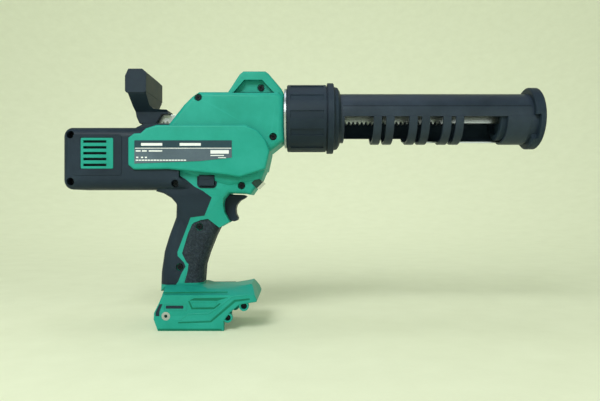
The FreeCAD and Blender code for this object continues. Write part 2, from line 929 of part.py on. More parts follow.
# steel insert in each side of the foot, for a hook or a lanyard
insert_hole = rod(
    "insert_hole",
    "Y",
    (insert_x, -foot_half_width - 1, insert_z),
    insert_length + 1,
    insert_radius + fit_clearance,
)
insert_boss = rod(
    "insert_boss",
    "Y",
    (insert_x, -(foot_half_width - 1.0), insert_z),
    insert_length + 1.5,
    insert_radius + 2.4,
)
right_insert = pipe(
    "insert_right_pipe",
    "Y",
    (insert_x, -foot_half_width, insert_z),
    insert_length,
    insert_radius,
    insert_bore,
)
node("right_threaded_insert", right_insert)
node("left_threaded_insert", mirrored("insert_left_pipe", right_insert))

# the green housing
upper_shell = cut("upper_shell", upper_outer, upper_room)
black_grip = common("black_grip", grip_skin, black_region)
black_lower = common(
    "black_lower",
    fuse(
        "lower_shell",
        cut("switch_shell", solids["switch_block"], upper_room, grip_core),
        grip_skin,
    ),
    black_region,
)
grip_pad_all = common("grip_pad_all", grip_skin, pad_region)
upper_ribbed = cut(
    "upper_ribbed",
    common("upper_in_skin", fuse("upper_with_bosses", upper_shell, *upper_bosses), upper_outer),
    black_region,
    pad_region,
    grip_room,
)
grip_green = cut(
    "grip_green",
    common(
        "grip_ribbed",
        fuse("grip_with_bosses", cut("grip_shell", solids["grip"], grip_room), *grip_bosses),
        solids["grip"],
    ),
    black_grip,
    grip_pad_all,
    upper_room,
)
switch_ribs = [
    block(
        "switch_rib_%s" % place,
        (rib_x, rib_x + rib_thick),
        (grip_inner_y - 1, -switch_box_half),
        (-118.0, -104.0),
    )
    for place, rib_x in (("rear", -99.0), ("front", -92.0))
]
foot_shell = fuse(
    "foot_shell",
    cut("foot_cavity", solids["foot"], foot_hollow, foot_bay, grip_room),
    rail_right,
    insert_boss,
)
foot_clean = common("foot_clean", foot_shell, solids["foot"])
green_sum = fuse("green_sum", upper_ribbed, grip_green, foot_clean, *switch_ribs)
openings = fuse(
    "casing_openings", rack_tunnel, trigger_slot, button_window, lamp_window, insert_hole, recess
)
drilled = fuse("casing_drilling", holes, mouths)
green_all = cut(
    "green_drilled",
    cut("green_opened", cut("green_off_barrel", green_sum, barrel_space), openings),
    drilled,
)
right_housing = node("right_housing", green_all)
node("left_housing", mirrored("left_housing_half", right_housing))

# the black motor cover: barrel, saddle, the part under the label and the back of the grip
vent_window = block(
    "vent_window",
    (vent_rear_x, vent_front_x),
    (-50, wall - barrel_half_width + 1),
    (vent_low_z, vent_high_z),
)
motor_passage = block(
    "motor_passage",
    (barrel_front_x - 20, barrel_front_x + 5),
    (wall - switch_half_width, switch_half_width - wall),
    (-72.0, -20.0),
)
barrel_shell = common(
    "barrel_shell",
    fuse(
        "barrel_with_bosses",
        cut("barrel_tube", fuse("barrel_sum", barrel_solid, saddle_solid), barrel_room),
        *barrel_bosses,
    ),
    barrel_space,
)
black_sum = fuse(
    "black_sum",
    cut("barrel_clear", barrel_shell, saddle_room, motor_passage),
    cut("black_lower_clear", black_lower, barrel_space),
)
black_all = cut(
    "black_all",
    cut("black_opened", black_sum, rack_tunnel, button_window, vent_window),
    drilled,
)
right_cover = node("right_motor_cover", black_all)
node("left_motor_cover", mirrored("left_cover_half", right_cover))
right_pad = node("right_grip_pad", cut("pad_clear", grip_pad_all, trigger_slot, drilled))
node("left_grip_pad", mirrored("left_pad_half", right_pad))

vent_plate = block(
    "vent_blank",
    (vent_rear_x + 0.2, vent_front_x - 0.2),
    (-barrel_half_width - 0.4, vent_thick - barrel_half_width - 0.4),
    (vent_low_z + 0.2, vent_high_z - 0.2),
)
slot_count = 5
slot_pitch = (vent_high_z - vent_low_z) / (slot_count + 0.2)
slots = []
for i in range(slot_count):
    slot_z = vent_low_z + slot_pitch * (i + 0.6)
    slots.append(
        block(
            "vent_slot_%d" % i,
            (vent_rear_x + 2.4, vent_front_x - 7.0),
            (-60, 0),
            (slot_z - 1.3, slot_z + 1.3),
        )
    )
right_vent = node("right_vent_plate", cut("vent_plate", vent_plate, *slots))
node("left_vent_plate", mirrored("vent_plate_left", right_vent))

right_label = padded(
    "label_plate",
    [(-157.0, -27.4), (-56.0, -27.4), (-56.0, -45.2), (-89.0, -48.8), (-157.0, -51.4)],
    -label_half_width - label_thick,
    -label_half_width,
)
node("right_label_plate", right_label)
node("left_label_plate", mirrored("label_plate_left", right_label))

# ---------------------------------------------------------------------------------------------
# Mount ring, collar, holder and front cap
# ---------------------------------------------------------------------------------------------

collar_x = head_face_x + ring_flange + slide_clearance
collar_flange_x = collar_x + collar_length - 1.0
collar_nose_x = collar_flange_x + flange_length
collar_end_x = collar_nose_x + nose_length
holder_outer = holder_inner + holder_wall
lip_end_x = holder_rear_x + holder_lip_length
node(
    "mount_ring",
    turned(
        "mount_ring_body",
        [
            (head_face_x, ring_bore),
            (head_face_x + ring_flange + thread_length, ring_bore),
            (head_face_x + ring_flange + thread_length, thread_radius),
            (head_face_x + ring_flange, thread_radius),
            (head_face_x + ring_flange, thread_radius + 1.0),
            (head_face_x, thread_radius + 1.0),
        ],
    ),
)
collar = turned(
    "collar_body",
    [
        (collar_x, thread_radius + slide_clearance),
        (lip_end_x + slide_clearance, thread_radius + slide_clearance),
        (lip_end_x + slide_clearance, holder_outer + slide_clearance),
        (collar_end_x, holder_outer + slide_clearance),
        (collar_end_x, nose_radius - 5.0),
        (collar_end_x - 2.5, nose_radius - 1.0),
        (collar_nose_x + 0.5, nose_radius),
        (collar_nose_x, flange_radius - 0.6),
        (collar_nose_x - 0.6, flange_radius),
        (collar_flange_x, flange_radius),
        (collar_flange_x, collar_radius - 1.4),
        (collar_flange_x - 1.6, collar_radius - 1.4),
        (collar_flange_x - 1.6, collar_radius),
        (collar_x + 1.0, collar_radius),
        (collar_x, collar_radius - 1.0),
    ],
)
flat_count = 12
flat_plane = [item for item in collar.Origin.OriginFeatures if item.Role == "XY_Plane"][0]
flat_axis = [item for item in collar.Origin.OriginFeatures if item.Role == "X_Axis"][0]
flat_sketch = body_sketch(collar, flat_plane, "collar_flat_outline")
drive(flat_sketch, "AttachmentOffset.Base.z", collar_radius - flat_depth)
constrain_corners(
    flat_sketch,
    [
        (collar_x + 4.0, -flat_half_width),
        (collar_flange_x - 4.5, -flat_half_width),
        (collar_flange_x - 4.5, flat_half_width),
        (collar_x + 4.0, flat_half_width),
    ],
)
flat = collar.newObject("PartDesign::Pocket", "collar_flat")
flat.Profile = flat_sketch
flat.Reversed = True
drive(flat, "Length", flat_depth + 2)
doc.recompute()
ring_of_flats = collar.newObject("PartDesign::PolarPattern", "collar_flats")
ring_of_flats.Originals = [flat]
ring_of_flats.Axis = (flat_axis, [""])
ring_of_flats.Angle = 360
ring_of_flats.Occurrences = flat_count
collar.Tip = ring_of_flats
doc.recompute()
node("collar", collar)

# the holder: a tube whose lower right side is open between straps
holder_tube = turned(
    "holder_tube",
    [
        (holder_rear_x, holder_inner),
        (holder_end_x + 5.6, holder_inner),
        (holder_end_x + 5.6, holder_outer),
        (lip_end_x, holder_outer),
        (lip_end_x, holder_outer + holder_lip),
        (holder_rear_x, holder_outer + holder_lip),
    ],
)
strap_starts = []
for pair_x in (strap_first_x, strap_second_x, strap_third_x):
    strap_starts.append(pair_x)
    strap_starts.append(pair_x + strap_width + strap_gap)
window_bounds = []
previous = window_start_x
for start in strap_starts:
    window_bounds.append((previous, start))
    previous = start + strap_width
window_bounds.append((previous, front_band_x))
windows = []
for i, (low_x, high_x) in enumerate(window_bounds):
    near = block("window_near_%d" % i, (low_x, high_x), (-40, 0), (-40, window_top_z))
    far = block("window_far_%d" % i, (low_x, high_x), (-1, 40), (-40, far_edge_z))
    windows.extend([near, far])
straps = []
for i, start in enumerate(strap_starts):
    straps.append(
        pipe(
            "strap_%d" % i,
            "X",
            (start, 0, 0),
            strap_width,
            holder_outer + strap_rise,
            holder_inner,
        )
    )
strap_zone = block("strap_zone", (window_start_x, holder_end_x), (-40, 40), (-40, window_top_z))
strap_keep_out = block(
    "strap_keep_out", (window_start_x, holder_end_x), (0, 40), (far_edge_z, 40)
)
straps.append(
    pipe(
        "front_band",
        "X",
        (front_band_x, 0, 0),
        holder_end_x - front_band_x - 4.0,
        holder_outer + strap_rise,
        holder_inner,
    )
)
strap_group = cut("strap_group", common("strap_wrap", fuse("straps", *straps), strap_zone), strap_keep_out)
node(
    "holder",
    fuse("holder_whole", cut("holder_open", holder_tube, *windows), strap_group),
)
holder_tip_x = holder_end_x + 5.6
cap_front_x = holder_end_x + cap_length
cap_ring = turned(
    "cap_ring",
    [
        (holder_end_x, holder_outer + fit_clearance),
        (holder_tip_x, holder_outer + fit_clearance),
        (holder_tip_x, nozzle_radius),
        (cap_front_x, nozzle_radius),
        (cap_front_x, cap_radius - 1.6),
        (cap_front_x - 1.6, cap_radius),
        (holder_end_x + 1.6, cap_radius),
        (holder_end_x, cap_radius - 1.6),
    ],
)
cap_notch = block("cap_notch", (holder_end_x - 1, holder_tip_x - 0.6), (-50, -19), (-24.0, 0.6))
node("front_cap", cut("front_cap_body", cap_ring, cap_notch))
node(
    "cap_washer",
    pipe(
        "cap_washer_pipe",
        "X",
        (holder_tip_x - 1.5, 0, 0),
        1.5,
        holder_inner - fit_clearance,
        nozzle_radius + 4,
    ),
)

# ---------------------------------------------------------------------------------------------
# Rack, piston and pull handle
# ---------------------------------------------------------------------------------------------

tooth_pitch = tooth_module * math.pi
tooth_addendum = tooth_module * 0.8
tooth_dedendum = tooth_module * 1.0
pitch_z = rack_tip_z + tooth_addendum
root_z = pitch_z + tooth_dedendum
slope = math.tan(math.radians(20))
teeth_before = 17
teeth_count = 65
first_tooth_x = pinion_x - tooth_pitch * teeth_before
plain_front_x = pinion_x + tooth_pitch * (teeth_count - teeth_before)

rack, rack_plane = new_body("rack_bar", "XZ_Plane")
rack_sketch = body_sketch(rack, rack_plane, "rack_outline")
constrain_corners(
    rack_sketch,
    [
        (rack_rear_x, rack_tip_z + 0.5),
        (first_tooth_x - tooth_pitch / 2, rack_tip_z + 0.5),
        (first_tooth_x - tooth_pitch / 2, root_z),
        (plain_front_x, root_z),
        (plain_front_x, rack_tip_z + 1.0),
        (rack_front_x, rack_tip_z + 1.0),
        (rack_front_x, rack_top_z),
        (rack_rear_x, rack_top_z),
    ],
)
drive(rack_sketch, "AttachmentOffset.Base.z", -rack_half_width)
rack_pad = rack.newObject("PartDesign::Pad", "rack_pad")
rack_pad.Profile = rack_sketch
drive(rack_pad, "Length", rack_half_width * 2)
doc.recompute()
tooth_sketch = body_sketch(rack, rack_plane, "rack_tooth_outline")
half_pitch_tooth = tooth_pitch / 4 - tooth_clearance / 2
constrain_corners(
    tooth_sketch,
    [
        (first_tooth_x - half_pitch_tooth - tooth_dedendum * slope, root_z + 0.2),
        (first_tooth_x - half_pitch_tooth + tooth_addendum * slope, rack_tip_z),
        (first_tooth_x + half_pitch_tooth - tooth_addendum * slope, rack_tip_z),
        (first_tooth_x + half_pitch_tooth + tooth_dedendum * slope, root_z + 0.2),
    ],
)
drive(tooth_sketch, "AttachmentOffset.Base.z", -rack_half_width)
tooth_pad = rack.newObject("PartDesign::Pad", "rack_tooth")
tooth_pad.Profile = tooth_sketch
drive(tooth_pad, "Length", rack_half_width * 2)
doc.recompute()
tooth_row = rack.newObject("PartDesign::LinearPattern", "rack_teeth")
tooth_row.Originals = [tooth_pad]
rack_axis = [item for item in rack.Origin.OriginFeatures if item.Role == "X_Axis"][0]
tooth_row.Direction = (rack_axis, [""])
tooth_row.Occurrences = teeth_count
drive(tooth_row, "Length", tooth_pitch * (teeth_count - 1))
rack.Tip = tooth_row
doc.recompute()
piston_screw_hole = rod(
    "piston_screw_hole", "X", (rack_front_x - 16, 0, -1.2), 40, piston_screw_radius + fit_clearance
)
handle_screw_hole = rod(
    "handle_screw_hole", "Z", (handle_screw_x, 0, -8.5), 14.8, screw_radius + 0.4 + fit_clearance
)
node("rack", cut("rack_drilled", rack, piston_screw_hole, handle_screw_hole))
piston_front_x = piston_x + piston_length
piston = turned(
    "piston_body",
    [
        (piston_x, piston_radius - 6.0),
        (piston_x, piston_radius - 1.0),
        (piston_x + 1.0, piston_radius),
        (piston_front_x - 1.0, piston_radius),
        (piston_front_x, piston_radius - 1.0),
        (piston_front_x, 0.0),
        (piston_x + 4.0, 0.0),
        (piston_x + 4.0, piston_radius - 6.0),
    ],
)
piston_cut = cut(
    "piston_cut",
    piston,
    rod("piston_bore", "X", (piston_x - 1, 0, -1.2), 40, piston_screw_radius + fit_clearance),
    rod("piston_mouth", "X", (piston_front_x - 3.0, 0, -1.2), 10, piston_screw_radius * 2),
)
node("piston", piston_cut)
piston_screw = fuse(
    "piston_screw_bar",
    rod("piston_screw_shank", "X", (rack_front_x - 14, 0, -1.2), piston_front_x - rack_front_x + 11.5, piston_screw_radius),
    rod("piston_screw_head", "X", (piston_front_x - 2.9, 0, -1.2), 2.6, piston_screw_radius * 1.8),
)
node("piston_screw", piston_screw)

handle_outline = [
    (-164.5, bar_bottom_z + 3.0),
    (-163.5, 10.0),
    (-161.5, 0.0),
    (-158.5, rack_tip_z),
    (-140.5, rack_tip_z),
    (-134.5, rack_top_z + fit_clearance),
    (-127.0, rack_top_z + fit_clearance),
    (-128.5, 8.0),
    (-142.5, 8.6),
    (-145.5, 12.0),
    (-145.5, bar_bottom_z + 3.0),
]
bar_outline = [
    (bar_rear_x, bar_bottom_z + 1.5),
    (bar_rear_x + 1.5, bar_bottom_z),
    (bar_front_x - 1.5, bar_bottom_z),
    (bar_front_x, bar_bottom_z + 1.5),
    (bar_front_x, bar_top_z - 4.0),
    (bar_front_x - 4.0, bar_top_z),
    (bar_rear_x + 3.5, bar_top_z),
    (bar_rear_x, bar_top_z - 7.5),
]
handle_plate = padded("handle_plate", handle_outline, -bar_half_length, bar_half_length)
handle_taper = common(
    "handle_stem",
    handle_plate,
    ridge(
        "stem_taper",
        [
            (-as_dim(bar_half_length) + 1.5, bar_bottom_z + 4.0),
            (-as_dim(bar_half_length) + 1.5, bar_bottom_z - 1.0),
            (-as_dim(stem_half_width), 6.0),
            (-as_dim(stem_half_width), rack_tip_z - 1.0),
            (stem_half_width, rack_tip_z - 1.0),
            (stem_half_width, 6.0),
            (as_dim(bar_half_length) - 1.5, bar_bottom_z - 1.0),
            (as_dim(bar_half_length) - 1.5, bar_bottom_z + 4.0),
        ],
        -170.0,
        -120.0,
    ),
)
handle_bar = padded("handle_bar", bar_outline, -bar_half_length, bar_half_length)
rack_socket = block(
    "rack_socket",
    (rack_rear_x - 0.05, -100),
    (-(rack_half_width + fit_clearance), rack_half_width + fit_clearance),
    (rack_tip_z - 5, rack_top_z + fit_clearance),
)
node(
    "pull_handle",
    cut("pull_handle_body", fuse("handle_sum", handle_taper, handle_bar), rack_socket, handle_screw_hole),
)
handle_screw = fuse(
    "handle_screw_bar",
    rod("handle_screw_shank", "Z", (handle_screw_x, 0, rack_tip_z + 0.7), 11.6, screw_radius + 0.4),
    rod("handle_screw_tip", "Z", (handle_screw_x, 0, rack_tip_z + 0.6), 0.2, screw_radius + 0.3),
)
node("handle_screw", handle_screw)
# ---------------------------------------------------------------------------------------------
# Gears
# ---------------------------------------------------------------------------------------------


def tooth_flank(module, teeth, addendum, dedendum, backlash, samples=5):
    """One tooth's right flank, root to tip, as (radius, half angle) of an involute."""
    pitch_r = module * teeth / 2
    base_r = pitch_r * math.cos(math.radians(20))
    tip_r = pitch_r + addendum
    root_r = pitch_r - dedendum

    def roll(r):
        t = math.sqrt(max((r / base_r) ** 2 - 1, 0.0))
        return t - math.atan(t)

    half = math.pi / (2 * teeth) - backlash / (2 * pitch_r)
    low_r = max(base_r, root_r)
    flank = []
    if root_r < base_r:
        flank.append((root_r, half + roll(pitch_r)))
    for i in range(samples):
        r = low_r + (tip_r - low_r) * i / (samples - 1)
        flank.append((r, half + roll(pitch_r) - roll(r)))
    return flank


def gear_face(module, teeth, addendum, dedendum, backlash, turn_deg):
    """A gear's outline as a face in the plane of (u, v), with one tooth at turn_deg."""
    flank = tooth_flank(module, teeth, addendum, dedendum, backlash)
    points = []
    for i in range(teeth):
        middle = math.radians(turn_deg) + 2 * math.pi * i / teeth
        for r, half in flank:
            points.append((r, middle - half))
        for r, half in reversed(flank):
            points.append((r, middle + half))
    corners = [FreeCAD.Vector(r * math.cos(a), r * math.sin(a), 0) for r, a in points]
    return Part.Face(Part.makePolygon(corners + [corners[0]]))


def gear(name, module, teeth, turn_deg, axis, centre, width, bore, addendum=None, dedendum=None):
    """A straight spur gear; its outline is worked out, because no primitive has teeth.

    axis Y: angles run from +X towards +Z; axis X: angles run from +Y towards +Z.
    """
    tall = addendum if addendum else module
    deep = dedendum if dedendum else module * 1.2
    face = gear_face(module, teeth, tall, deep, tooth_clearance.number, turn_deg)
    solid = face.extrude(FreeCAD.Vector(0, 0, width))
    if bore > 0:
        solid = solid.cut(Part.makeCylinder(bore, width))
    piece = doc.addObject("Part::Feature", name)
    piece.Shape = solid
    if axis == "Y":
        turn = FreeCAD.Rotation(FreeCAD.Vector(1, 0, 0), 90)
    else:
        turn = FreeCAD.Rotation(
            FreeCAD.Vector(0, 1, 0), FreeCAD.Vector(0, 0, 1), FreeCAD.Vector(1, 0, 0), "ZXY"
        )
    piece.Placement = FreeCAD.Placement(FreeCAD.Vector(*[as_dim(c).number for c in centre]), turn)
    put(piece, *centre)
    return piece


pinion_teeth = 14
pinion_pitch = tooth_module * (pinion_teeth / 2)
pinion_z = pitch_z - pinion_pitch - 0.06
gap_up = 90.0 + 180.0 / pinion_teeth
node(
    "rack_pinion",
    gear(
        "rack_pinion_gear",
        tooth_module.number,
        pinion_teeth,
        gap_up,
        "Y",
        (pinion_x, pinion_half_width, pinion_z),
        pinion_half_width.number * 2,
        output_shaft.number + fit_clearance.number,
        tooth_module.number * 0.8,
        tooth_module.number * 1.05,
    ),
)
drive_module = 1.0
output_teeth = 44
relay_teeth = 17
centre_distance = drive_module * (output_teeth + relay_teeth) / 2 + 0.06
rise = (pinion_z - motor_z).number
relay_run = math.sqrt(centre_distance**2 - rise**2)
relay_x = pinion_x - relay_run
mesh_deg = math.degrees(math.atan2(-rise, -relay_run))
node(
    "output_gear",
    gear(
        "output_gear_wheel",
        drive_module,
        output_teeth,
        mesh_deg,
        "Y",
        (pinion_x, gear_low_y + gear_width, pinion_z),
        gear_width.number,
        output_shaft.number + fit_clearance.number,
    ),
)
node(
    "relay_pinion",
    gear(
        "relay_pinion_gear",
        drive_module,
        relay_teeth,
        mesh_deg + 180.0 + 180.0 / relay_teeth,
        "Y",
        (relay_x, gear_low_y + gear_width, motor_z),
        gear_width.number,
        relay_shaft.number + fit_clearance.number,
    ),
)
node(
    "output_shaft",
    rod(
        "output_shaft_bar",
        "Y",
        (pinion_x, plate_right_y + 0.3, pinion_z),
        plate_left_y + plate_thick - plate_right_y - 0.6,
        output_shaft,
    ),
)
node(
    "relay_shaft",
    rod(
        "relay_shaft_bar",
        "Y",
        (relay_x, plate_right_y + 0.3, motor_z),
        plate_left_y + plate_thick - plate_right_y - 0.6,
        relay_shaft,
    ),
)


def bearing(name, axis, start, shaft):
    """A plain ball-race sized ring that fits a shaft and a seat in a plate."""
    return pipe(name, axis, start, plate_thick, bearing_radius, shaft + fit_clearance)


node(
    "output_bearings",
    fuse(
        "output_bearing_pair",
        bearing("output_bearing_right", "Y", (pinion_x, plate_right_y, pinion_z), output_shaft),
        bearing("output_bearing_left", "Y", (pinion_x, plate_left_y, pinion_z), output_shaft),
    ),
)
node(
    "relay_bearings",
    fuse(
        "relay_bearing_pair",
        bearing("relay_bearing_right", "Y", (relay_x, plate_right_y, motor_z), relay_shaft),
        bearing("relay_bearing_left", "Y", (relay_x, plate_left_y, motor_z), relay_shaft),
    ),
)

# bevel pair: pitch cones with a common apex on both axes
bevel_ratio = 3.0
bevel_small = bevel_big / bevel_ratio
bevel_gap = 0.3


def cone(name, axis, start, length, first_radius, last_radius):
    piece = doc.addObject("Part::Cone", name)
    piece.Placement = FreeCAD.Placement(FreeCAD.Vector(), ALONG[axis])
    drive(piece, "Radius1", first_radius)
    drive(piece, "Radius2", last_radius)
    drive(piece, "Height", length)
    put(piece, *start)
    return piece


bevel_pinion_x = relay_x - bevel_big
node(
    "bevel_pinion",
    cut(
        "bevel_pinion_cut",
        cone(
            "bevel_pinion_cone",
            "X",
            (bevel_pinion_x, 0, motor_z),
            bevel_face,
            bevel_small - bevel_gap,
            bevel_small - bevel_face / bevel_ratio - bevel_gap,
        ),
        rod("bevel_pinion_bore", "X", (bevel_pinion_x - 1, 0, motor_z), 3.0, 2.0 + fit_clearance),
    ),
)
node(
    "bevel_gear",
    cut(
        "bevel_gear_cut",
        fuse(
            "bevel_gear_sum",
            cone(
                "bevel_gear_cone",
                "Y",
                (relay_x, bevel_small - bevel_face / bevel_ratio, motor_z),
                bevel_face / bevel_ratio,
                bevel_big - bevel_face,
                bevel_big,
            ),
            rod("bevel_gear_hub", "Y", (relay_x, bevel_small - 0.01, motor_z), 3.8, bevel_big - 1.0),
        ),
        rod("bevel_gear_bore", "Y", (relay_x, -10, motor_z), 40, relay_shaft + slide_clearance / 4),
    ),
)

# planetary stage on the motor axis
stage_module = 0.8
sun_teeth = 12
planet_teeth = 15
ring_teeth = sun_teeth + planet_teeth * 2
planet_orbit = stage_module * (sun_teeth + planet_teeth) / 2
node(
    "sun_gear",
    gear("sun_gear_wheel", stage_module, sun_teeth, 90.0, "X", (stage_x, 0, motor_z), stage_width.number, motor_shaft.number + fit_clearance.number),
)
for i in range(3):
    around = 90.0 + 120.0 * i
    y = planet_orbit * math.cos(math.radians(around))
    z = planet_orbit * math.sin(math.radians(around))
    # a gap of the planet faces the sun's tooth, which lies on every 30 degrees
    planet_turn = around + 180.0 + 180.0 / planet_teeth
    node(
        "planet_gear_%d" % (i + 1),
        gear(
            "planet_gear_wheel_%d" % (i + 1),
            stage_module,
            planet_teeth,
            planet_turn,
            "X",
            (stage_x, y, motor_z + z),
            stage_width.number,
            planet_pin.number + fit_clearance.number,
            stage_module * 0.95,
        ),
    )
# the ring's tooth spaces are a gear of the same count, cut out with room to spare
ring_blank = rod("ring_gear_blank", "X", (stage_x, 0, motor_z), stage_width, ring_outer)
ring_face = gear_face(
    stage_module, ring_teeth, stage_module * 1.2, stage_module * 0.85, -tooth_clearance.number, 90.0
)
ring_space = doc.addObject("Part::Feature", "ring_gear_space")
ring_space.Shape = ring_face.extrude(FreeCAD.Vector(0, 0, stage_width.number + 2))
ring_space.Placement = FreeCAD.Placement(
    FreeCAD.Vector(),
    FreeCAD.Rotation(
        FreeCAD.Vector(0, 1, 0), FreeCAD.Vector(0, 0, 1), FreeCAD.Vector(1, 0, 0), "ZXY"
    ),
)
put(ring_space, stage_x - 1, 0, motor_z)
node("ring_gear", cut("ring_gear_cut", ring_blank, ring_space))

carrier_x = stage_x + stage_width + carrier_gap
planet_pins = []
for i in range(3):
    around = math.radians(90.0 + 120.0 * i)
    planet_pins.append(
        rod(
            "planet_pin_%d" % (i + 1),
            "X",
            (
                stage_x,
                planet_orbit * math.cos(around),
                motor_z + planet_orbit * math.sin(around),
            ),
            stage_width + carrier_gap + 1,
            planet_pin,
        )
    )
node(
    "planet_carrier",
    fuse(
        "planet_carrier_sum",
        rod("carrier_disc", "X", (carrier_x, 0, motor_z), carrier_plate, 15.5),
        rod(
            "carrier_shaft_bar",
            "X",
            (carrier_x + 1, 0, motor_z),
            bevel_pinion_x - carrier_x - 1,
            carrier_shaft,
        ),
        rod("carrier_tip", "X", (bevel_pinion_x - 1, 0, motor_z), 3.0, 2.0),
        *planet_pins,
    ),
)

# ---------------------------------------------------------------------------------------------
# Gearbox cover, gear case, motor
# ---------------------------------------------------------------------------------------------

node(
    "gearbox_cover",
    cut(
        "gearbox_cover_cut",
        rod(
            "gearbox_cover_bar",
            "X",
            (stage_x - 5, 0, motor_z),
            gearbox_front_x - stage_x + 5,
            ring_outer + 2,
        ),
        rod("gearbox_ring_seat", "X", (stage_x - 1, 0, motor_z), stage_width + 1, ring_outer),
        rod("gearbox_hall", "X", (stage_x + stage_width - 1, 0, motor_z), 6, 17.5),
        rod("gearbox_rear_hole", "X", (stage_x - 6, 0, motor_z), 7, 7.0),
        rod("gearbox_seat", "X", (gearbox_front_x - plate_thick, 0, motor_z), 20, bearing_radius),
        rod("gearbox_front_hole", "X", (gearbox_front_x - 20, 0, motor_z), 30, carrier_shaft + 1),
    ),
)
node(
    "carrier_bearing",
    bearing("carrier_bearing_ring", "X", (gearbox_front_x - plate_thick, 0, motor_z), carrier_shaft),
)



def case_plate(name, low_y):
    """One side plate of the gear case, with its two bearing seats."""
    plate = block(
        name, (case_rear_x, case_front_x), (low_y, low_y + plate_thick), (case_low_z, case_high_z)
    )
    return cut(
        name + "_seated",
        plate,
        rod(name + "_output_seat", "Y", (pinion_x, low_y - 1, pinion_z), plate_thick + 2, bearing_radius),
        rod(name + "_relay_seat", "Y", (relay_x, low_y - 1, motor_z), plate_thick + 2, bearing_radius),
    )


node(
    "gear_case",
    fuse(
        "gear_case_sum",
        case_plate("case_plate_right", plate_right_y),
        case_plate("case_plate_left", plate_left_y),
        block(
            "case_bridge",
            (case_rear_x, case_front_x),
            (plate_right_y, gear_low_y - 0.8),
            (rack_top_z + slide_clearance, case_high_z),
        ),
        block(
            "case_roof",
            (case_rear_x, case_front_x),
            (gear_low_y - 1.8, plate_left_y + plate_thick),
            (case_high_z - 3.6, case_high_z),
        ),
        block(
            "case_foot",
            (case_front_x - 5, case_front_x),
            (plate_right_y, plate_left_y + plate_thick),
            (case_low_z, pinion_z - 20),
        ),
    ),
)


def rack_bush(name, low_x, high_x):
    """A guide block with a square hole that the rack slides through."""
    blank = block(
        name + "_blank",
        (low_x, high_x),
        (-rack_half_width - 5, rack_half_width + 5),
        (rack_tip_z - 4, rack_top_z + 4.4),
    )
    hole = block(
        name + "_hole",
        (low_x - 1, high_x + 1),
        (-(rack_half_width + slide_clearance), rack_half_width + slide_clearance),
        (rack_tip_z - slide_clearance, rack_top_z + slide_clearance),
    )
    return cut(name, blank, hole)


node("rear_rack_bush", rack_bush("rear_bush", -103.0, -94.0))
node("front_rack_bush", rack_bush("front_bush", -14.0, head_face_x - wall))

node(
    "motor_can",
    cut(
        "motor_can_cut",
        rod("motor_can_bar", "X", (can_rear_x, 0, motor_z), can_front_x - can_rear_x, can_radius),
        rod("motor_can_room", "X", (can_rear_x + plate_thick, 0, motor_z), 200, can_radius - can_wall),
        rod("motor_can_seat", "X", (can_rear_x - 1, 0, motor_z), 10, bearing_radius),
    ),
)
node(
    "stator",
    pipe(
        "stator_ring",
        "X",
        (can_rear_x + 10, 0, motor_z),
        40,
        can_radius - can_wall,
        rotor_radius + air_gap,
    ),
)
node(
    "rotor",
    cut(
        "rotor_cut",
        fuse(
            "rotor_sum",
            rod("rotor_stack", "X", (can_rear_x + 12, 0, motor_z), 36, rotor_radius),
            rod(
                "motor_shaft_bar",
                "X",
                (can_rear_x - 1, 0, motor_z),
                stage_x + stage_width - can_rear_x + 1,
                motor_shaft,
            ),
        ),
        rod("rotor_centre", "X", (can_rear_x - 2, 0, motor_z), 2.5, 0.8),
    ),
)
blades = []
for i in range(9):
    blade = doc.addObject("Part::Box", "fan_blade_%d" % i)
    drive(blade, "Length", 7.0)
    drive(blade, "Width", fan_radius - 8.5)
    drive(blade, "Height", 1.4)
    spin = FreeCAD.Rotation(FreeCAD.Vector(1, 0, 0), 40.0 * i)
    blade.Placement = FreeCAD.Placement(FreeCAD.Vector(), spin)
    reach = spin.multVec(FreeCAD.Vector(0, 8.0, -0.7))
    put(blade, fan_x, reach.y, motor_z + reach.z)
    blades.append(blade)
node(
    "cooling_fan",
    cut(
        "cooling_fan_cut",
        fuse(
            "cooling_fan_sum",
            rod("fan_disc", "X", (fan_x, 0, motor_z), 1.6, fan_radius),
            rod("fan_hub", "X", (fan_x, 0, motor_z), 9, 9.0),
            *blades,
        ),
        rod("fan_bore", "X", (fan_x - 1, 0, motor_z), 20, motor_shaft + fit_clearance),
    ),
)
node(
    "front_bell",
    cut(
        "front_bell_cut",
        rod("front_bell_disc", "X", (bell_x, 0, motor_z), plate_thick, 27.0),
        rod("front_bell_seat", "X", (bell_x - 1, 0, motor_z), 10, bearing_radius),
    ),
)
node(
    "motor_bearings",
    fuse(
        "motor_bearing_pair",
        bearing("motor_bearing_rear", "X", (can_rear_x, 0, motor_z), motor_shaft),
        bearing("motor_bearing_front", "X", (bell_x, 0, motor_z), motor_shaft),
    ),
)

# ---------------------------------------------------------------------------------------------
# Trigger, switch, direction button, lamp, electronics in the foot
# ---------------------------------------------------------------------------------------------

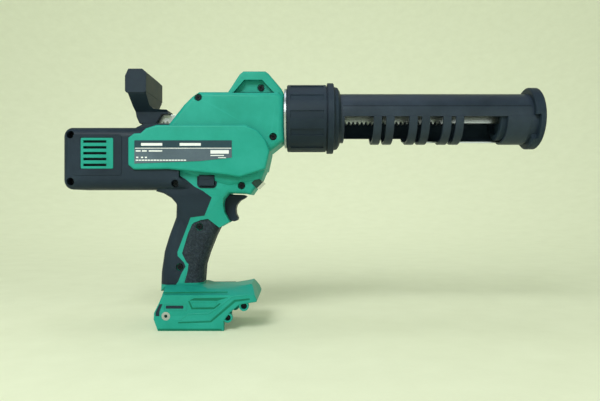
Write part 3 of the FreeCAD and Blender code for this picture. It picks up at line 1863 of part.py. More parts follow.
trigger_shell = padded(
    "trigger_shell",
    [
        (trigger_back_x, -84.6),
        (-61.5, -83.2),
        (-47.0, -83.6),
        (-43.2, -84.9),
        (-44.6, -86.8),
        (-50.5, -90.2),
        (-54.2, -94.8),
        (-55.2, -99.0),
        (-54.8, -104.0),
        (-52.6, -108.8),
        (-53.4, -111.4),
        (-56.5, -112.6),
        (-61.5, -111.6),
        (-64.0, -109.0),
        (trigger_back_x, -103.0),
    ],
    -trigger_half_width,
    trigger_half_width,
)
for face_y in (-trigger_half_width, trigger_half_width):
    round_edges(trigger_shell, 1.2, edge_in_plane("y", face_y))
node(
    "trigger",
    fuse(
        "trigger_sum",
        trigger_shell,
        block(
            "trigger_plunger",
            (switch_front_x + trigger_travel + 0.6, trigger_back_x + 1),
            (-plunger_half, plunger_half),
            (-100.0, -93.0),
        ),
    ),
)
switch_body = block(
    "switch_box",
    (-102.0, switch_front_x),
    (-switch_box_half, switch_box_half),
    (-110.0, -90.0),
)
switch_hole = block(
    "switch_hole",
    (-99.0, -80.0),
    (-plunger_half - slide_clearance, plunger_half + slide_clearance),
    (-100.0 - slide_clearance, -93.0 + slide_clearance),
)
node("trigger_switch", cut("trigger_switch_box", switch_body, switch_hole))
direction_bar = block(
    "direction_button_bar",
    (button_rear_x, button_front_x),
    (-button_half_length, button_half_length),
    (button_low_z, button_high_z),
)
direction_relief = block(
    "direction_button_relief",
    (button_rear_x - 1, button_front_x + 1),
    (-button_relief, button_relief),
    (button_low_z + button_bar_height, button_high_z + 1),
)
node("direction_button", cut("direction_button_whole", direction_bar, direction_relief))
node("lamp_lens", lamp_block("lamp_lens_block", Dim(0.0)))

node(
    "control_board",
    block("control_board_plate", (-122.0, -66.0), (-28.0, 28.0), (board_z, board_z + 1.6)),
)
node(
    "heat_sink",
    block("heat_sink_block", (-84.0, -68.0), (-20.0, 20.0), (board_z + 1.6, board_z + 6.0)),
)
terminal_holder = block(
    "terminal_holder_block", (-116.0, -100.0), (-13.0, 13.0), (terminal_low_z, foot_floor_z)
)
blade_slots = []
blade_solids = []
for i, y in enumerate((-9.0, 0.0, 9.0)):
    blade_slots.append(
        block(
            "blade_slot_%d" % i,
            (-108.0, -90.0),
            (y - 0.4, y + 0.4),
            (terminal_low_z + 1.5, foot_floor_z - 1.5),
        )
    )
    blade_solids.append(
        block(
            "terminal_blade_%d" % i,
            (-107.9, -84.0),
            (y - 0.4, y + 0.4),
            (terminal_low_z + 1.6, foot_floor_z - 1.6),
        )
    )
node("terminal_holder", cut("terminal_holder_cut", terminal_holder, *blade_slots))
node("battery_terminals", fuse("terminal_blades", *blade_solids))

# ---------------------------------------------------------------------------------------------
# Check and write
# ---------------------------------------------------------------------------------------------

doc.recompute()
faults = []
for item in doc.Objects:
    if "Invalid" in item.State or "Error" in item.State:
        faults.append("%s: %s" % (item.Name, item.State))
for label, thing in nodes.items():
    shape = thing.Shape
    if shape.isNull() or not shape.isValid() or not shape.Solids:
        faults.append("%s: no valid solid" % label)
if faults:
    raise RuntimeError("; ".join(faults))
os.makedirs("parts", exist_ok=True)
for label, thing in nodes.items():
    thing.Shape.exportStep(os.path.join("parts", label + ".step"))
    print(label, len(thing.Shape.Solids), round(thing.Shape.Volume))
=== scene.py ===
"""The looks of a cordless caulking gun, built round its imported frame.

Units are metres. +X runs to the muzzle, +Z up, and -Y is the gun's right-hand side.
"""

import json
import math

import bmesh
import bpy
import numpy as np
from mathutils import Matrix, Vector

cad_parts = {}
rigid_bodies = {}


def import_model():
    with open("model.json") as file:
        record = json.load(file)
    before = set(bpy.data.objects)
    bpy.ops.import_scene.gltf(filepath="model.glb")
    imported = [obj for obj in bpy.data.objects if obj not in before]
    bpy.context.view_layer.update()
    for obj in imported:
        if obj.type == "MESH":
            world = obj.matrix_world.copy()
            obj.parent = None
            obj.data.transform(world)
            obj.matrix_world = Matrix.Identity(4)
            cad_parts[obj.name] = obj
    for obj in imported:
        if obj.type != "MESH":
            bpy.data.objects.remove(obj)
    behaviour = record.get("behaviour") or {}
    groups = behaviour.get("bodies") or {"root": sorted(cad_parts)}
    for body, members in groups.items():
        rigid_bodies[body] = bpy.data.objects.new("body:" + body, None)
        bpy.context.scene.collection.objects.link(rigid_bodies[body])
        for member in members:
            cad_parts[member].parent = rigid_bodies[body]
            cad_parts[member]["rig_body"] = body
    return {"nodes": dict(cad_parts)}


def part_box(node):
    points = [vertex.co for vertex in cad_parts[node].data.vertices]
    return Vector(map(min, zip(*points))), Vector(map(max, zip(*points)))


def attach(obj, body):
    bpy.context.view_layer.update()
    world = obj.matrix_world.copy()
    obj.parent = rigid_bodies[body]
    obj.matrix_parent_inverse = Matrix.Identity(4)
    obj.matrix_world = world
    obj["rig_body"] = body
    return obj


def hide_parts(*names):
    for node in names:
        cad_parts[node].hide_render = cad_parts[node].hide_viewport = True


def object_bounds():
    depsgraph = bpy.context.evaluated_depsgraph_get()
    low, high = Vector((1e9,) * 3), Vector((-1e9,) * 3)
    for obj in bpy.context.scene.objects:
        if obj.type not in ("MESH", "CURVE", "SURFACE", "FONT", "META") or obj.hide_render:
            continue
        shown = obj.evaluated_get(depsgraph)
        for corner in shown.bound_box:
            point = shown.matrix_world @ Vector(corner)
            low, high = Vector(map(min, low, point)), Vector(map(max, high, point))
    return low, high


MM = 0.001

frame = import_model()
nodes = frame["nodes"]
cad_low, cad_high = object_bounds()


# ---------------------------------------------------------------------------------------------
# Camera, floor and light
# ---------------------------------------------------------------------------------------------

CAMERA_AT = Vector((14.85, -638.0, -89.8)) * MM
SENSOR_WIDTH = 36.0
VIEW_WIDTH = 660 * MM
FLOOR_PALE = "#d9dfc4"


def linear(hex_colour):
    """An sRGB hex colour as a linear RGBA tuple."""
    parts = [int(hex_colour[i : i + 2], 16) / 255 for i in (1, 3, 5)]
    return (*[p / 12.92 if p <= 0.04045 else ((p + 0.055) / 1.055) ** 2.4 for p in parts], 1.0)


def make_camera():
    """A level camera that looks along +Y and takes in VIEW_WIDTH at the gun's centre plane."""
    data = bpy.data.cameras.new("camera")
    data.sensor_width = SENSOR_WIDTH
    data.lens = SENSOR_WIDTH * -CAMERA_AT.y / VIEW_WIDTH
    data.clip_start, data.clip_end = 0.01, 50
    camera = bpy.data.objects.new("camera", data)
    camera.location = CAMERA_AT
    camera.rotation_euler = (math.pi / 2, 0, 0)
    bpy.context.scene.collection.objects.link(camera)
    bpy.context.scene.camera = camera


def soft_light(name, place, size, watts, target=None):
    """A square area light at a place, aimed at the middle of the gun or at a target."""
    data = bpy.data.lights.new(name, "AREA")
    data.size = size
    data.energy = watts
    light = bpy.data.objects.new(name, data)
    light.location = place
    aim = (Vector(target) if target else (cad_low + cad_high) / 2) - Vector(place)
    light.rotation_euler = aim.to_track_quat("-Z", "Y").to_euler()
    bpy.context.scene.collection.objects.link(light)


make_camera()
soft_light("key_light", (-0.55, -1.35, 1.0), 0.7, 23)
soft_light("fill_light", (0.9, -1.5, 0.2), 1.0, 3)
soft_light("top_light", (0.05, 0.1, 1.6), 0.8, 3)
soft_light("wall_light", (0.0, 0.9, 1.5), 1.2, 16, target=(0.0, 3.2, 0.6))
world = bpy.data.worlds.new("studio_air")
world.use_nodes = True
world.node_tree.nodes["Background"].inputs["Color"].default_value = linear("#eef3fb")
world.node_tree.nodes["Background"].inputs["Strength"].default_value = 0.38
bpy.context.scene.world = world
bpy.context.scene.view_settings.view_transform = "Standard"


# ---------------------------------------------------------------------------------------------
# Meshes
# ---------------------------------------------------------------------------------------------


def grid_faces(rows, columns, wrap_rows=False, wrap_columns=False):
    """Quads that join a rows x columns grid of points, wrapped round where asked."""
    r = np.arange(rows if wrap_rows else rows - 1)
    c = np.arange(columns if wrap_columns else columns - 1)
    r, c = np.meshgrid(r, c, indexing="ij")
    r1, c1 = (r + 1) % rows, (c + 1) % columns
    corners = [r * columns + c, r * columns + c1, r1 * columns + c1, r1 * columns + c]
    return np.stack([k.ravel() for k in corners], axis=1)


def new_piece(name, points, faces, material, smooth=True):
    """An object at the origin from an array of points and a list of faces."""
    mesh = bpy.data.meshes.new(name)
    mesh.from_pydata(np.asarray(points, float).tolist(), [], [list(map(int, f)) for f in faces])
    mesh.materials.append(material)
    mesh.polygons.foreach_set("use_smooth", np.full(len(mesh.polygons), smooth))
    mesh.update()
    piece = bpy.data.objects.new(name, mesh)
    bpy.context.scene.collection.objects.link(piece)
    return piece


def point_faces_outwards(mesh):
    """Turns every face of a closed mesh outwards."""
    work = bmesh.new()
    work.from_mesh(mesh)
    bmesh.ops.remove_doubles(work, verts=work.verts, dist=1e-7)
    bmesh.ops.recalc_face_normals(work, faces=work.faces)
    work.to_mesh(mesh)
    work.free()


def mark_sharp(mesh, degrees):
    """Smooth faces everywhere, with the edges that turn more than an angle kept sharp."""
    work = bmesh.new()
    work.from_mesh(mesh)
    for face in work.faces:
        face.smooth = True
    for edge in work.edges:
        edge.smooth = len(edge.link_faces) == 2 and edge.calc_face_angle(0) < math.radians(degrees)
    work.to_mesh(mesh)
    work.free()


def bevelled(piece, width, segments=2, degrees=28):
    """Rounds the edges that turn more than an angle."""
    bevel = piece.modifiers.new("edge_round", "BEVEL")
    bevel.width = width
    bevel.segments = segments
    bevel.limit_method = "ANGLE"
    bevel.angle_limit = math.radians(degrees)
    bevel.harden_normals = True
    return piece


def softened(name, material, width=0.35 * MM, segments=2):
    """A copy of a CAD node, welded, with its flat faces joined and its edges rounded."""
    source = nodes[name]
    mesh = source.data.copy()
    mesh.materials.clear()
    mesh.materials.append(material)
    mesh.polygons.foreach_set("material_index", np.zeros(len(mesh.polygons), np.int32))
    work = bmesh.new()
    work.from_mesh(mesh)
    bmesh.ops.remove_doubles(work, verts=work.verts, dist=2e-6)
    bmesh.ops.dissolve_limit(
        work, angle_limit=math.radians(0.6), verts=work.verts, edges=work.edges
    )
    work.to_mesh(mesh)
    work.free()
    mark_sharp(mesh, 32)
    piece = bpy.data.objects.new(name + "_finished", mesh)
    bpy.context.scene.collection.objects.link(piece)
    if width:
        bevelled(piece, width, segments)
    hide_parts(name)
    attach(piece, source["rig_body"])
    return piece


# ---------------------------------------------------------------------------------------------
# Materials
# ---------------------------------------------------------------------------------------------


def add(tree, kind, inputs=(), **settings):
    """Adds a node. inputs maps a socket's name or number to a value or to another node's output."""
    made = tree.nodes.new(kind)
    for key, value in settings.items():
        setattr(made, key, value)
    for key, value in dict(inputs).items():
        if isinstance(value, bpy.types.NodeSocket):
            tree.links.new(value, made.inputs[key])
        else:
            made.inputs[key].default_value = value
    return made


def ramp(tree, factor, stops):
    """Colours blended along a factor: stops are (position, hex colour)."""
    made = add(tree, "ShaderNodeValToRGB", {"Fac": factor})
    band = made.color_ramp
    while len(band.elements) < len(stops):
        band.elements.new(0.5)
    for element, (place, colour) in zip(band.elements, stops):
        element.position = place
        element.color = linear(colour)
    return made.outputs["Color"]


def per_metre(millimetres):
    """Pattern scale for a feature of that size."""
    return 1000.0 / millimetres


def moulded(
    name,
    stops,
    roughness,
    grain,
    depth,
    spread=0.07,
    worn=0.0,
    ior=1.53,
    coat=0.0,
    gloss_level=0.32,
    glow=0.0,
):
    """A moulded polymer: cloudy colour from large noise, fine grain in bump, a worn sheen."""
    material = bpy.data.materials.new(name)
    material.use_nodes = True
    tree = material.node_tree
    shader = tree.nodes["Principled BSDF"]
    shader.inputs["IOR"].default_value = ior
    shader.inputs["Coat Weight"].default_value = coat
    shader.inputs["Specular IOR Level"].default_value = gloss_level
    place = add(tree, "ShaderNodeTexCoord").outputs["Object"]
    cloud = add(
        tree,
        "ShaderNodeTexNoise",
        {"Vector": place, "Scale": per_metre(42), "Detail": 4.0, "Roughness": 0.6},
    )
    fine = add(
        tree,
        "ShaderNodeTexNoise",
        {"Vector": place, "Scale": per_metre(grain), "Detail": 2.0, "Roughness": 0.55},
    )
    blend_factor = add(
        tree,
        "ShaderNodeMix",
        {"Factor": 0.22, "A": cloud.outputs["Fac"], "B": fine.outputs["Fac"]},
    )
    colour = ramp(tree, blend_factor.outputs["Result"], stops)
    if worn:
        shape = add(tree, "ShaderNodeNewGeometry")
        edge = add(
            tree,
            "ShaderNodeMapRange",
            {"Value": shape.outputs["Pointiness"], "From Min": 0.53, "From Max": 0.60,
             "To Min": 0.0, "To Max": worn},
        )
        lighter = add(
            tree,
            "ShaderNodeMix",
            {0: edge.outputs["Result"], 6: colour, 7: linear(stops[-1][1])},
            data_type="RGBA",
        )
        colour = lighter.outputs[2]
    tree.links.new(colour, shader.inputs["Base Color"])
    if glow:
        shader.inputs["Emission Color"].default_value = linear(stops[-1][1])
        shader.inputs["Emission Strength"].default_value = glow
    gloss = add(
        tree,
        "ShaderNodeMapRange",
        {"Value": cloud.outputs["Fac"], "From Min": 0.3, "From Max": 0.7,
         "To Min": roughness - spread, "To Max": roughness + spread},
    )
    tree.links.new(gloss.outputs["Result"], shader.inputs["Roughness"])
    bump = add(
        tree,
        "ShaderNodeBump",
        {"Height": fine.outputs["Fac"], "Distance": depth * MM, "Strength": 0.6},
    )
    tree.links.new(bump.outputs["Normal"], shader.inputs["Normal"])
    return material


def metal(name, stops, roughness, along, across, depth, spread=0.06, metallic=1.0, coat=0.0):
    """A metal with a lay: noise stretched along X, from grinding, turning or plating."""
    material = bpy.data.materials.new(name)
    material.use_nodes = True
    tree = material.node_tree
    shader = tree.nodes["Principled BSDF"]
    shader.inputs["Metallic"].default_value = metallic
    shader.inputs["Coat Weight"].default_value = coat
    place = add(tree, "ShaderNodeTexCoord").outputs["Object"]
    lay = add(
        tree,
        "ShaderNodeMapping",
        {"Vector": place, "Scale": (across / along, 1.0, 1.0)},
    )
    grain = add(
        tree,
        "ShaderNodeTexNoise",
        {"Vector": lay.outputs["Vector"], "Scale": per_metre(across), "Detail": 3.0,
         "Roughness": 0.6},
    )
    cloud = add(
        tree,
        "ShaderNodeTexNoise",
        {"Vector": place, "Scale": per_metre(25), "Detail": 3.0},
    )
    factor = add(
        tree,
        "ShaderNodeMix",
        {"Factor": 0.5, "A": cloud.outputs["Fac"], "B": grain.outputs["Fac"]},
    )
    tree.links.new(ramp(tree, factor.outputs["Result"], stops), shader.inputs["Base Color"])
    gloss = add(
        tree,
        "ShaderNodeMapRange",
        {"Value": grain.outputs["Fac"], "From Min": 0.3, "From Max": 0.7,
         "To Min": roughness - spread, "To Max": roughness + spread},
    )
    tree.links.new(gloss.outputs["Result"], shader.inputs["Roughness"])
    bump = add(
        tree,
        "ShaderNodeBump",
        {"Height": grain.outputs["Fac"], "Distance": depth * MM, "Strength": 0.5},
    )
    tree.links.new(bump.outputs["Normal"], shader.inputs["Normal"])
    return material


# Glass-filled nylon, injection moulded in a spark-eroded tool: an even fine grain, a soft sheen.
# The real grain is about 0.15 mm and is drawn at 0.6 mm so that it shows.
green_nylon = moulded(
    "green_glass_filled_nylon",
    [(0.3, "#148b7b"), (0.5, "#1a9586"), (0.72, "#289f92")],
    0.48, 0.6, 0.05, worn=0.4, gloss_level=0.2,
)
# The same nylon painted darker, as painted shade on the foot's shadowed recess walls and on the
# shaded band under its top edge, with a rougher grain. The real texture is about 0.3 mm and is
# drawn at 0.9 mm.
green_painted_shade = moulded(
    "green_nylon_painted_shade",
    [(0.3, "#05664f"), (0.5, "#0a6f58"), (0.72, "#127a63")],
    0.6, 0.9, 0.12, gloss_level=0.15,
)
# The same nylon in charcoal, with the same grain: reads blue-grey where it is lit.
charcoal_nylon = moulded(
    "charcoal_glass_filled_nylon",
    [(0.3, "#18242f"), (0.5, "#1e2b38"), (0.72, "#273644")],
    0.5, 0.6, 0.05, worn=0.3, gloss_level=0.15,
)


def elastomer():
    """Overmoulded soft grip: small raised pebbles about 1.9 mm apart over a dull skin."""
    material = bpy.data.materials.new("thermoplastic_elastomer")
    material.use_nodes = True
    tree = material.node_tree
    shader = tree.nodes["Principled BSDF"]
    shader.inputs["IOR"].default_value = 1.5
    shader.inputs["Specular IOR Level"].default_value = 0.2
    shader.inputs["Sheen Weight"].default_value = 0.08
    place = add(tree, "ShaderNodeTexCoord").outputs["Object"]
    cells = add(
        tree, "ShaderNodeTexVoronoi", {"Vector": place, "Scale": per_metre(1.9)},
        feature="SMOOTH_F1",
    )
    cloud = add(
        tree, "ShaderNodeTexNoise", {"Vector": place, "Scale": per_metre(20), "Detail": 3.0}
    )
    height = add(
        tree,
        "ShaderNodeMapRange",
        {"Value": cells.outputs["Distance"], "From Min": 0.1, "From Max": 0.6,
         "To Min": 1.0, "To Max": 0.0},
    )
    factor = add(
        tree, "ShaderNodeMix",
        {"Factor": 0.45, "A": cloud.outputs["Fac"], "B": height.outputs["Result"]},
    )
    colour = ramp(
        tree, factor.outputs["Result"], [(0.2, "#1b252e"), (0.55, "#25313c"), (0.9, "#35424f")]
    )
    tree.links.new(colour, shader.inputs["Base Color"])
    gloss = add(
        tree, "ShaderNodeMapRange",
        {"Value": height.outputs["Result"], "To Min": 0.75, "To Max": 0.5},
    )
    tree.links.new(gloss.outputs["Result"], shader.inputs["Roughness"])
    bump = add(
        tree, "ShaderNodeBump",
        {"Height": height.outputs["Result"], "Distance": 0.35 * MM, "Strength": 0.8},
    )
    tree.links.new(bump.outputs["Normal"], shader.inputs["Normal"])
    return material


soft_grip = elastomer()
# Film printed from behind: smooth, with a light orange peel about 1 mm across.
label_navy = moulded(
    "printed_polyester_film_navy",
    [(0.3, "#16323e"), (0.5, "#1a3946"), (0.7, "#1f414f")], 0.35, 1.0, 0.01, 0.03,
)
label_grey = moulded(
    "printed_polyester_film_grey",
    [(0.3, "#465562"), (0.5, "#4e5e6c"), (0.7, "#586977")], 0.35, 1.0, 0.01, 0.03,
)
label_white = moulded(
    "printed_polyester_film_white",
    [(0.3, "#d9e0e2"), (0.5, "#e2e8ea"), (0.7, "#e9eef0")], 0.32, 1.0, 0.01, 0.03,
)
# Zinc-plated steel bar, drawn and then ground along its length: bright, with fine lines along X.
plated_steel = metal(
    "zinc_plated_steel",
    [(0.3, "#a3acb2"), (0.5, "#b9c1c6"), (0.7, "#cdd4d8")], 0.3, 14.0, 0.5, 0.006,
)
# Steel pressed to shape and powder coated: dark satin with a slight orange peel 1.2 mm across.
coated_steel = moulded(
    "powder_coated_steel",
    [(0.3, "#1d2833"), (0.5, "#24303d"), (0.72, "#2e3b4a")],
    0.42, 1.2, 0.03, worn=0.25, gloss_level=0.2,
)
# Black-oxided steel: nearly black, with a little oil sheen.
black_oxide = metal(
    "black_oxided_steel",
    [(0.3, "#191c20"), (0.5, "#22262b"), (0.7, "#2d3238")], 0.38, 0.8, 0.8, 0.02,
)
# Hobbed and case-hardened steel: grey, with fine tool marks.
gear_steel = metal(
    "machined_gear_steel",
    [(0.3, "#6e7276"), (0.5, "#85898d"), (0.7, "#9a9ea2")], 0.33, 0.9, 0.5, 0.02,
)
# Pressure die-cast aluminium: pale, slightly cloudy, with a rough skin about 1 mm across.
die_cast = metal(
    "die_cast_aluminium",
    [(0.3, "#9a9ea1"), (0.5, "#adb1b4"), (0.7, "#bdc1c4")], 0.45, 1.0, 1.0, 0.04,
)
# Electrical steel and enamelled copper, seen only through gaps.
lamination = metal(
    "laminated_electrical_steel",
    [(0.3, "#55585b"), (0.5, "#66696c"), (0.7, "#77797c")], 0.5, 0.4, 0.6, 0.03,
)
brass = metal(
    "turned_brass",
    [(0.3, "#a8893f"), (0.5, "#b89849"), (0.7, "#c7a957")], 0.3, 0.8, 0.5, 0.02,
)
# Polycarbonate, moulded clear with a dark green tint: glossy, with almost no grain.
tinted_lens = moulded(
    "tinted_polycarbonate",
    [(0.3, "#0b2b27"), (0.5, "#0e332e"), (0.7, "#133d37")], 0.14, 2.0, 0.005, 0.02,
    ior=1.585, coat=0.2,
)
# Solder mask over copper: dull green with a fine ripple.
solder_mask = moulded(
    "solder_mask", [(0.3, "#0c4a2c"), (0.5, "#0f5532"), (0.7, "#14613a")], 0.35, 1.0, 0.02, 0.05,
)

FINISHES = {
    green_nylon: ["right_housing", "left_housing", "right_vent_plate", "left_vent_plate"],
    charcoal_nylon: [
        "right_motor_cover", "left_motor_cover", "collar", "pull_handle", "piston", "trigger",
        "direction_button", "cooling_fan", "trigger_switch", "terminal_holder", "front_cap",
        "gearbox_cover",
    ],
    soft_grip: ["right_grip_pad", "left_grip_pad", "cap_washer"],
    label_grey: ["right_label_plate", "left_label_plate"],
    plated_steel: ["rack", "mount_ring", "right_threaded_insert", "left_threaded_insert",
                   "piston_screw", "handle_screw"],
    coated_steel: ["holder"],
    black_oxide: ["case_screws"],
    gear_steel: [
        "rack_pinion", "output_gear", "relay_pinion", "output_shaft", "relay_shaft",
        "output_bearings", "relay_bearings", "bevel_pinion", "bevel_gear", "sun_gear",
        "planet_gear_1", "planet_gear_2", "planet_gear_3", "ring_gear", "planet_carrier",
        "carrier_bearing", "motor_bearings", "rear_rack_bush", "front_rack_bush",
    ],
    die_cast: ["gear_case", "front_bell", "heat_sink"],
    lamination: ["motor_can", "stator", "rotor"],
    tinted_lens: ["lamp_lens"],
    solder_mask: ["control_board"],
    brass: ["battery_terminals"],
}
finish_of = {name: material for material, names in FINISHES.items() for name in names}
for name, thing in nodes.items():
    thing.data.materials.clear()
    thing.data.materials.append(finish_of[name])
    thing.data.polygons.foreach_set(
        "material_index", np.zeros(len(thing.data.polygons), np.int32)
    )

# ---------------------------------------------------------------------------------------------
# Outside pieces with rounded edges
# ---------------------------------------------------------------------------------------------

EDGE_ROUNDS = {
    "right_housing": 0.5,
    "left_housing": 0.5,
    "right_motor_cover": 0.5,
    "left_motor_cover": 0.5,
    "right_grip_pad": 0.4,
    "left_grip_pad": 0.4,
    "right_vent_plate": 0.35,
    "left_vent_plate": 0.35,
    "mount_ring": 0.3,
    "collar": 0.6,
    "holder": 0.25,
    "front_cap": 0.6,
    "rack": 0.2,
    "piston": 0.6,
    "pull_handle": 1.5,
    "trigger": 0.5,
    "direction_button": 0.6,
    "lamp_lens": 0.2,
}
for name, width in EDGE_ROUNDS.items():
    softened(name, finish_of[name], width * MM, 3 if width > 1 else 2)


# ---------------------------------------------------------------------------------------------
# Printed label, ribs, rims and grip pebbles
# ---------------------------------------------------------------------------------------------

SIDES = {"right": -1, "left": 1}


def side_plate(name, corners, face, rise, material, side, body="root", round_by=0.0):
    """A flat plate on the gun's side: an (x, z) outline in mm carried outwards by its rise."""
    flat = np.array(corners, float) * MM
    inner = np.column_stack([flat[:, 0], np.full(len(flat), side * face), flat[:, 1]])
    outer = inner + np.array([0, side * rise, 0])
    count = len(flat)
    faces = grid_faces(2, count, wrap_columns=True).tolist()
    faces += [list(range(count)), list(range(count, 2 * count))]
    piece = new_piece(name, np.vstack([inner, outer]), faces, material, smooth=False)
    point_faces_outwards(piece.data)
    if round_by:
        mark_sharp(piece.data, 30)
        bevelled(piece, round_by)
    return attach(piece, body)


def side_rib(name, path, face, width, rise, material, side, closed=False, body="root"):
    """A raised rib along an (x, z) path in mm: a boxy rounded section with mitred corners."""
    line = np.array(path, float) * MM
    ahead = np.roll(line, -1, axis=0) - line
    behind = line - np.roll(line, 1, axis=0)
    if not closed:
        ahead[-1], behind[0] = behind[-1], ahead[0]
    ahead /= np.linalg.norm(ahead, axis=1)[:, None]
    behind /= np.linalg.norm(behind, axis=1)[:, None]
    across = np.column_stack([-(ahead + behind)[:, 1], (ahead + behind)[:, 0]])
    across /= np.linalg.norm(across, axis=1)[:, None]
    reach = 1 / np.maximum(0.5, np.abs(across[:, 0] * -ahead[:, 1] + across[:, 1] * ahead[:, 0]))
    angle = np.linspace(0, math.pi, 9)
    sway = np.cos(angle) * width / 2
    lift = np.sin(angle) ** 0.35 * rise
    points = np.empty((len(line), len(angle), 3))
    points[:, :, 0] = line[:, None, 0] + across[:, None, 0] * reach[:, None] * sway
    points[:, :, 2] = line[:, None, 1] + across[:, None, 1] * reach[:, None] * sway
    points[:, :, 1] = side * (face + lift - 0.05 * MM)
    faces = grid_faces(len(line), len(angle), closed, True).tolist()
    if not closed:
        last = (len(line) - 1) * len(angle)
        faces += [list(range(len(angle))), list(range(last, last + len(angle)))]
    piece = new_piece(name, points.reshape(-1, 3), faces, material)
    point_faces_outwards(piece.data)
    mark_sharp(piece.data, 50)
    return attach(piece, body)


def rounded_frame(x_low, x_high, z_low, z_high, corner, steps=4):
    """A rounded rectangle as (x, z) points: four quarter circles joined by straight runs."""
    turn = np.linspace(0, math.pi / 2, steps + 1)
    centres = [
        (x_high - corner, z_high - corner), (x_low + corner, z_high - corner),
        (x_low + corner, z_low + corner), (x_high - corner, z_low + corner),
    ]
    runs = [
        np.column_stack([
            x + corner * np.cos(turn + quarter * math.pi / 2),
            z + corner * np.sin(turn + quarter * math.pi / 2),
        ])
        for quarter, (x, z) in enumerate(centres)
    ]
    return np.vstack(runs)


def printed_blocks(name, blocks, face, material, side):
    """Thin printed slabs on the side, one for each (x_low, x_high, z_low, z_high) in mm."""
    box = np.array(blocks, float) * MM
    ink = 0.06 * MM
    x = box[:, [0, 1, 1, 0, 0, 1, 1, 0]]
    z = box[:, [2, 2, 3, 3, 2, 2, 3, 3]]
    y = side * (face + np.array([0, 0, 0, 0, ink, ink, ink, ink])) * np.ones_like(x)
    points = np.stack([x, y, z], axis=2).reshape(-1, 3)
    one = np.array(
        [[0, 1, 2, 3], [4, 5, 6, 7], [0, 1, 5, 4], [1, 2, 6, 5], [2, 3, 7, 6], [3, 0, 4, 7]]
    )
    faces = (one[None] + 8 * np.arange(len(box))[:, None, None]).reshape(-1, 4)
    piece = new_piece(name, points, faces.tolist(), material, smooth=False)
    point_faces_outwards(piece.data)
    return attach(piece, "root")


def label_print(word, side):
    """The printed film: a navy heading band, a white rule, and plain bars where text would be."""
    low, high = (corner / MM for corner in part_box(word + "_label_plate"))
    face = max(abs(low.y), abs(high.y)) * MM
    left, right, top = low.x, high.x, high.z
    rule = top - 7.8
    side_plate(
        word + "_label_heading",
        rounded_frame(left, right, rule, top, 0.5),
        face, 0.05 * MM, label_navy, side,
    )
    bars = [(left + 1.0, right - 0.5, rule - 0.7, rule)]
    heading = [(7, 29), (47, 69)]
    bars += [(left + a, left + b, top - 5.6, top - 2.8) for a, b in heading]
    first_line = [(1.5, 6.5), (8, 13), (15, 29)]
    bars += [(left + a, left + b, rule - 3.9, rule - 2.5) for a, b in first_line]
    bars += [(left + a, left + a + 2.2, rule - 10.6, rule - 9.2) for a in (2, 7, 11)]
    starts = [left + 1.5 + 3.1 * i for i in range(17)]
    bars += [(start, start + 2.6, rule - 13.4, rule - 12.2) for start in starts]
    bars += [
        (right - 22, right - 3, rule - 6.0, rule - 2.4),
        (right - 22, right - 8, rule - 8.4, rule - 7.4),
        (right - 14, right - 6, rule - 10.6, rule - 9.8),
    ]
    if side > 0:
        bars = [(left + right - b, left + right - a, z0, z1) for a, b, z0, z1 in bars]
    printed_blocks(word + "_label_marks", bars, face + 0.05 * MM, label_white, side)


def foot_relief(word, side):
    """The foot's side: dark plates of painted shade in its recesses, ribs, a framed slot, a latch
    notch, screw ears.
    """
    face = 38.0 * MM
    # Dark green plates that paint the shade in the foot's recesses and along the band under its top
    # edge.
    shade_plates = [
        [(-99.6, -193.2), (-94.9, -190.9), (-59.3, -190.1), (-71.1, -193.6)],
        [(-100.9, -193.9), (-99.3, -193.9), (-96.2, -200.6), (-74.0, -200.3), (-68.6, -196.0),
         (-67.0, -196.4), (-73.2, -202.2), (-97.4, -202.4)],
        [(-111.4, -216.9), (-111.0, -215.7), (-78.0, -214.4), (-64.2, -202.4), (-53.0, -192.5),
         (-37.4, -191.0), (-37.0, -192.6), (-51.6, -194.6), (-62.6, -203.8), (-77.0, -215.8)],
        [(-132.4, -222.4), (-66.2, -222.4), (-66.2, -224.4), (-131.6, -224.4)],
        [(-126.2, -184.6), (-90.0, -184.2), (-60.0, -184.0), (-60.0, -185.2), (-90.0, -185.6),
         (-126.8, -186.0)],
    ]
    for count, outline in enumerate(shade_plates):
        name = "%s_foot_floor_%d" % (word, count)
        side_plate(name, outline, face, 0.08 * MM, green_painted_shade, side)
    ribs = {
        "slot_frame": (rounded_frame(-126, -102.5, -203.2, -196.4, 1.6), 1.0, True),
        "panel": ([(-97.6, -194.8), (-71.0, -194.6), (-74.6, -199.4), (-95.4, -199.6)], 0.8, True),
        "sweep": (
            [(-102.2, -207.6), (-79.0, -206.6), (-55.0, -189.2), (-40.0, -187.6)], 1.3, False,
        ),
        "sweep_low": (
            [(-110.4, -214.6), (-78.6, -213.4), (-65.6, -202.2), (-54.0, -191.6)], 1.0, False,
        ),
        "rise": ([(-110.4, -214.6), (-101.2, -207.4)], 1.0, False),
    }
    for part, (path, width, closed) in ribs.items():
        side_rib("%s_foot_%s" % (word, part), path, face, width * MM, 0.45 * MM,
                 green_nylon, side, closed=closed)
    notch = [(-130.5, -197), (-127.4, -197), (-130.6, -205.2), (-130.6, -209.5), (-134.6, -209.5),
             (-134.6, -205.5)]
    side_plate(word + "_foot_latch_notch", notch, face, 0.1 * MM, charcoal_nylon, side)
    side_plate(word + "_foot_slot", rounded_frame(-124, -105.8, -201.7, -198.5, 0.8),
               face, 0.08 * MM, charcoal_nylon, side)
    for part, x, z in (("front", -43.4, -199.4), ("rear", -60.2, -211.4)):
        screw_ear("%s_foot_ear_%s" % (word, part), x, z, side)


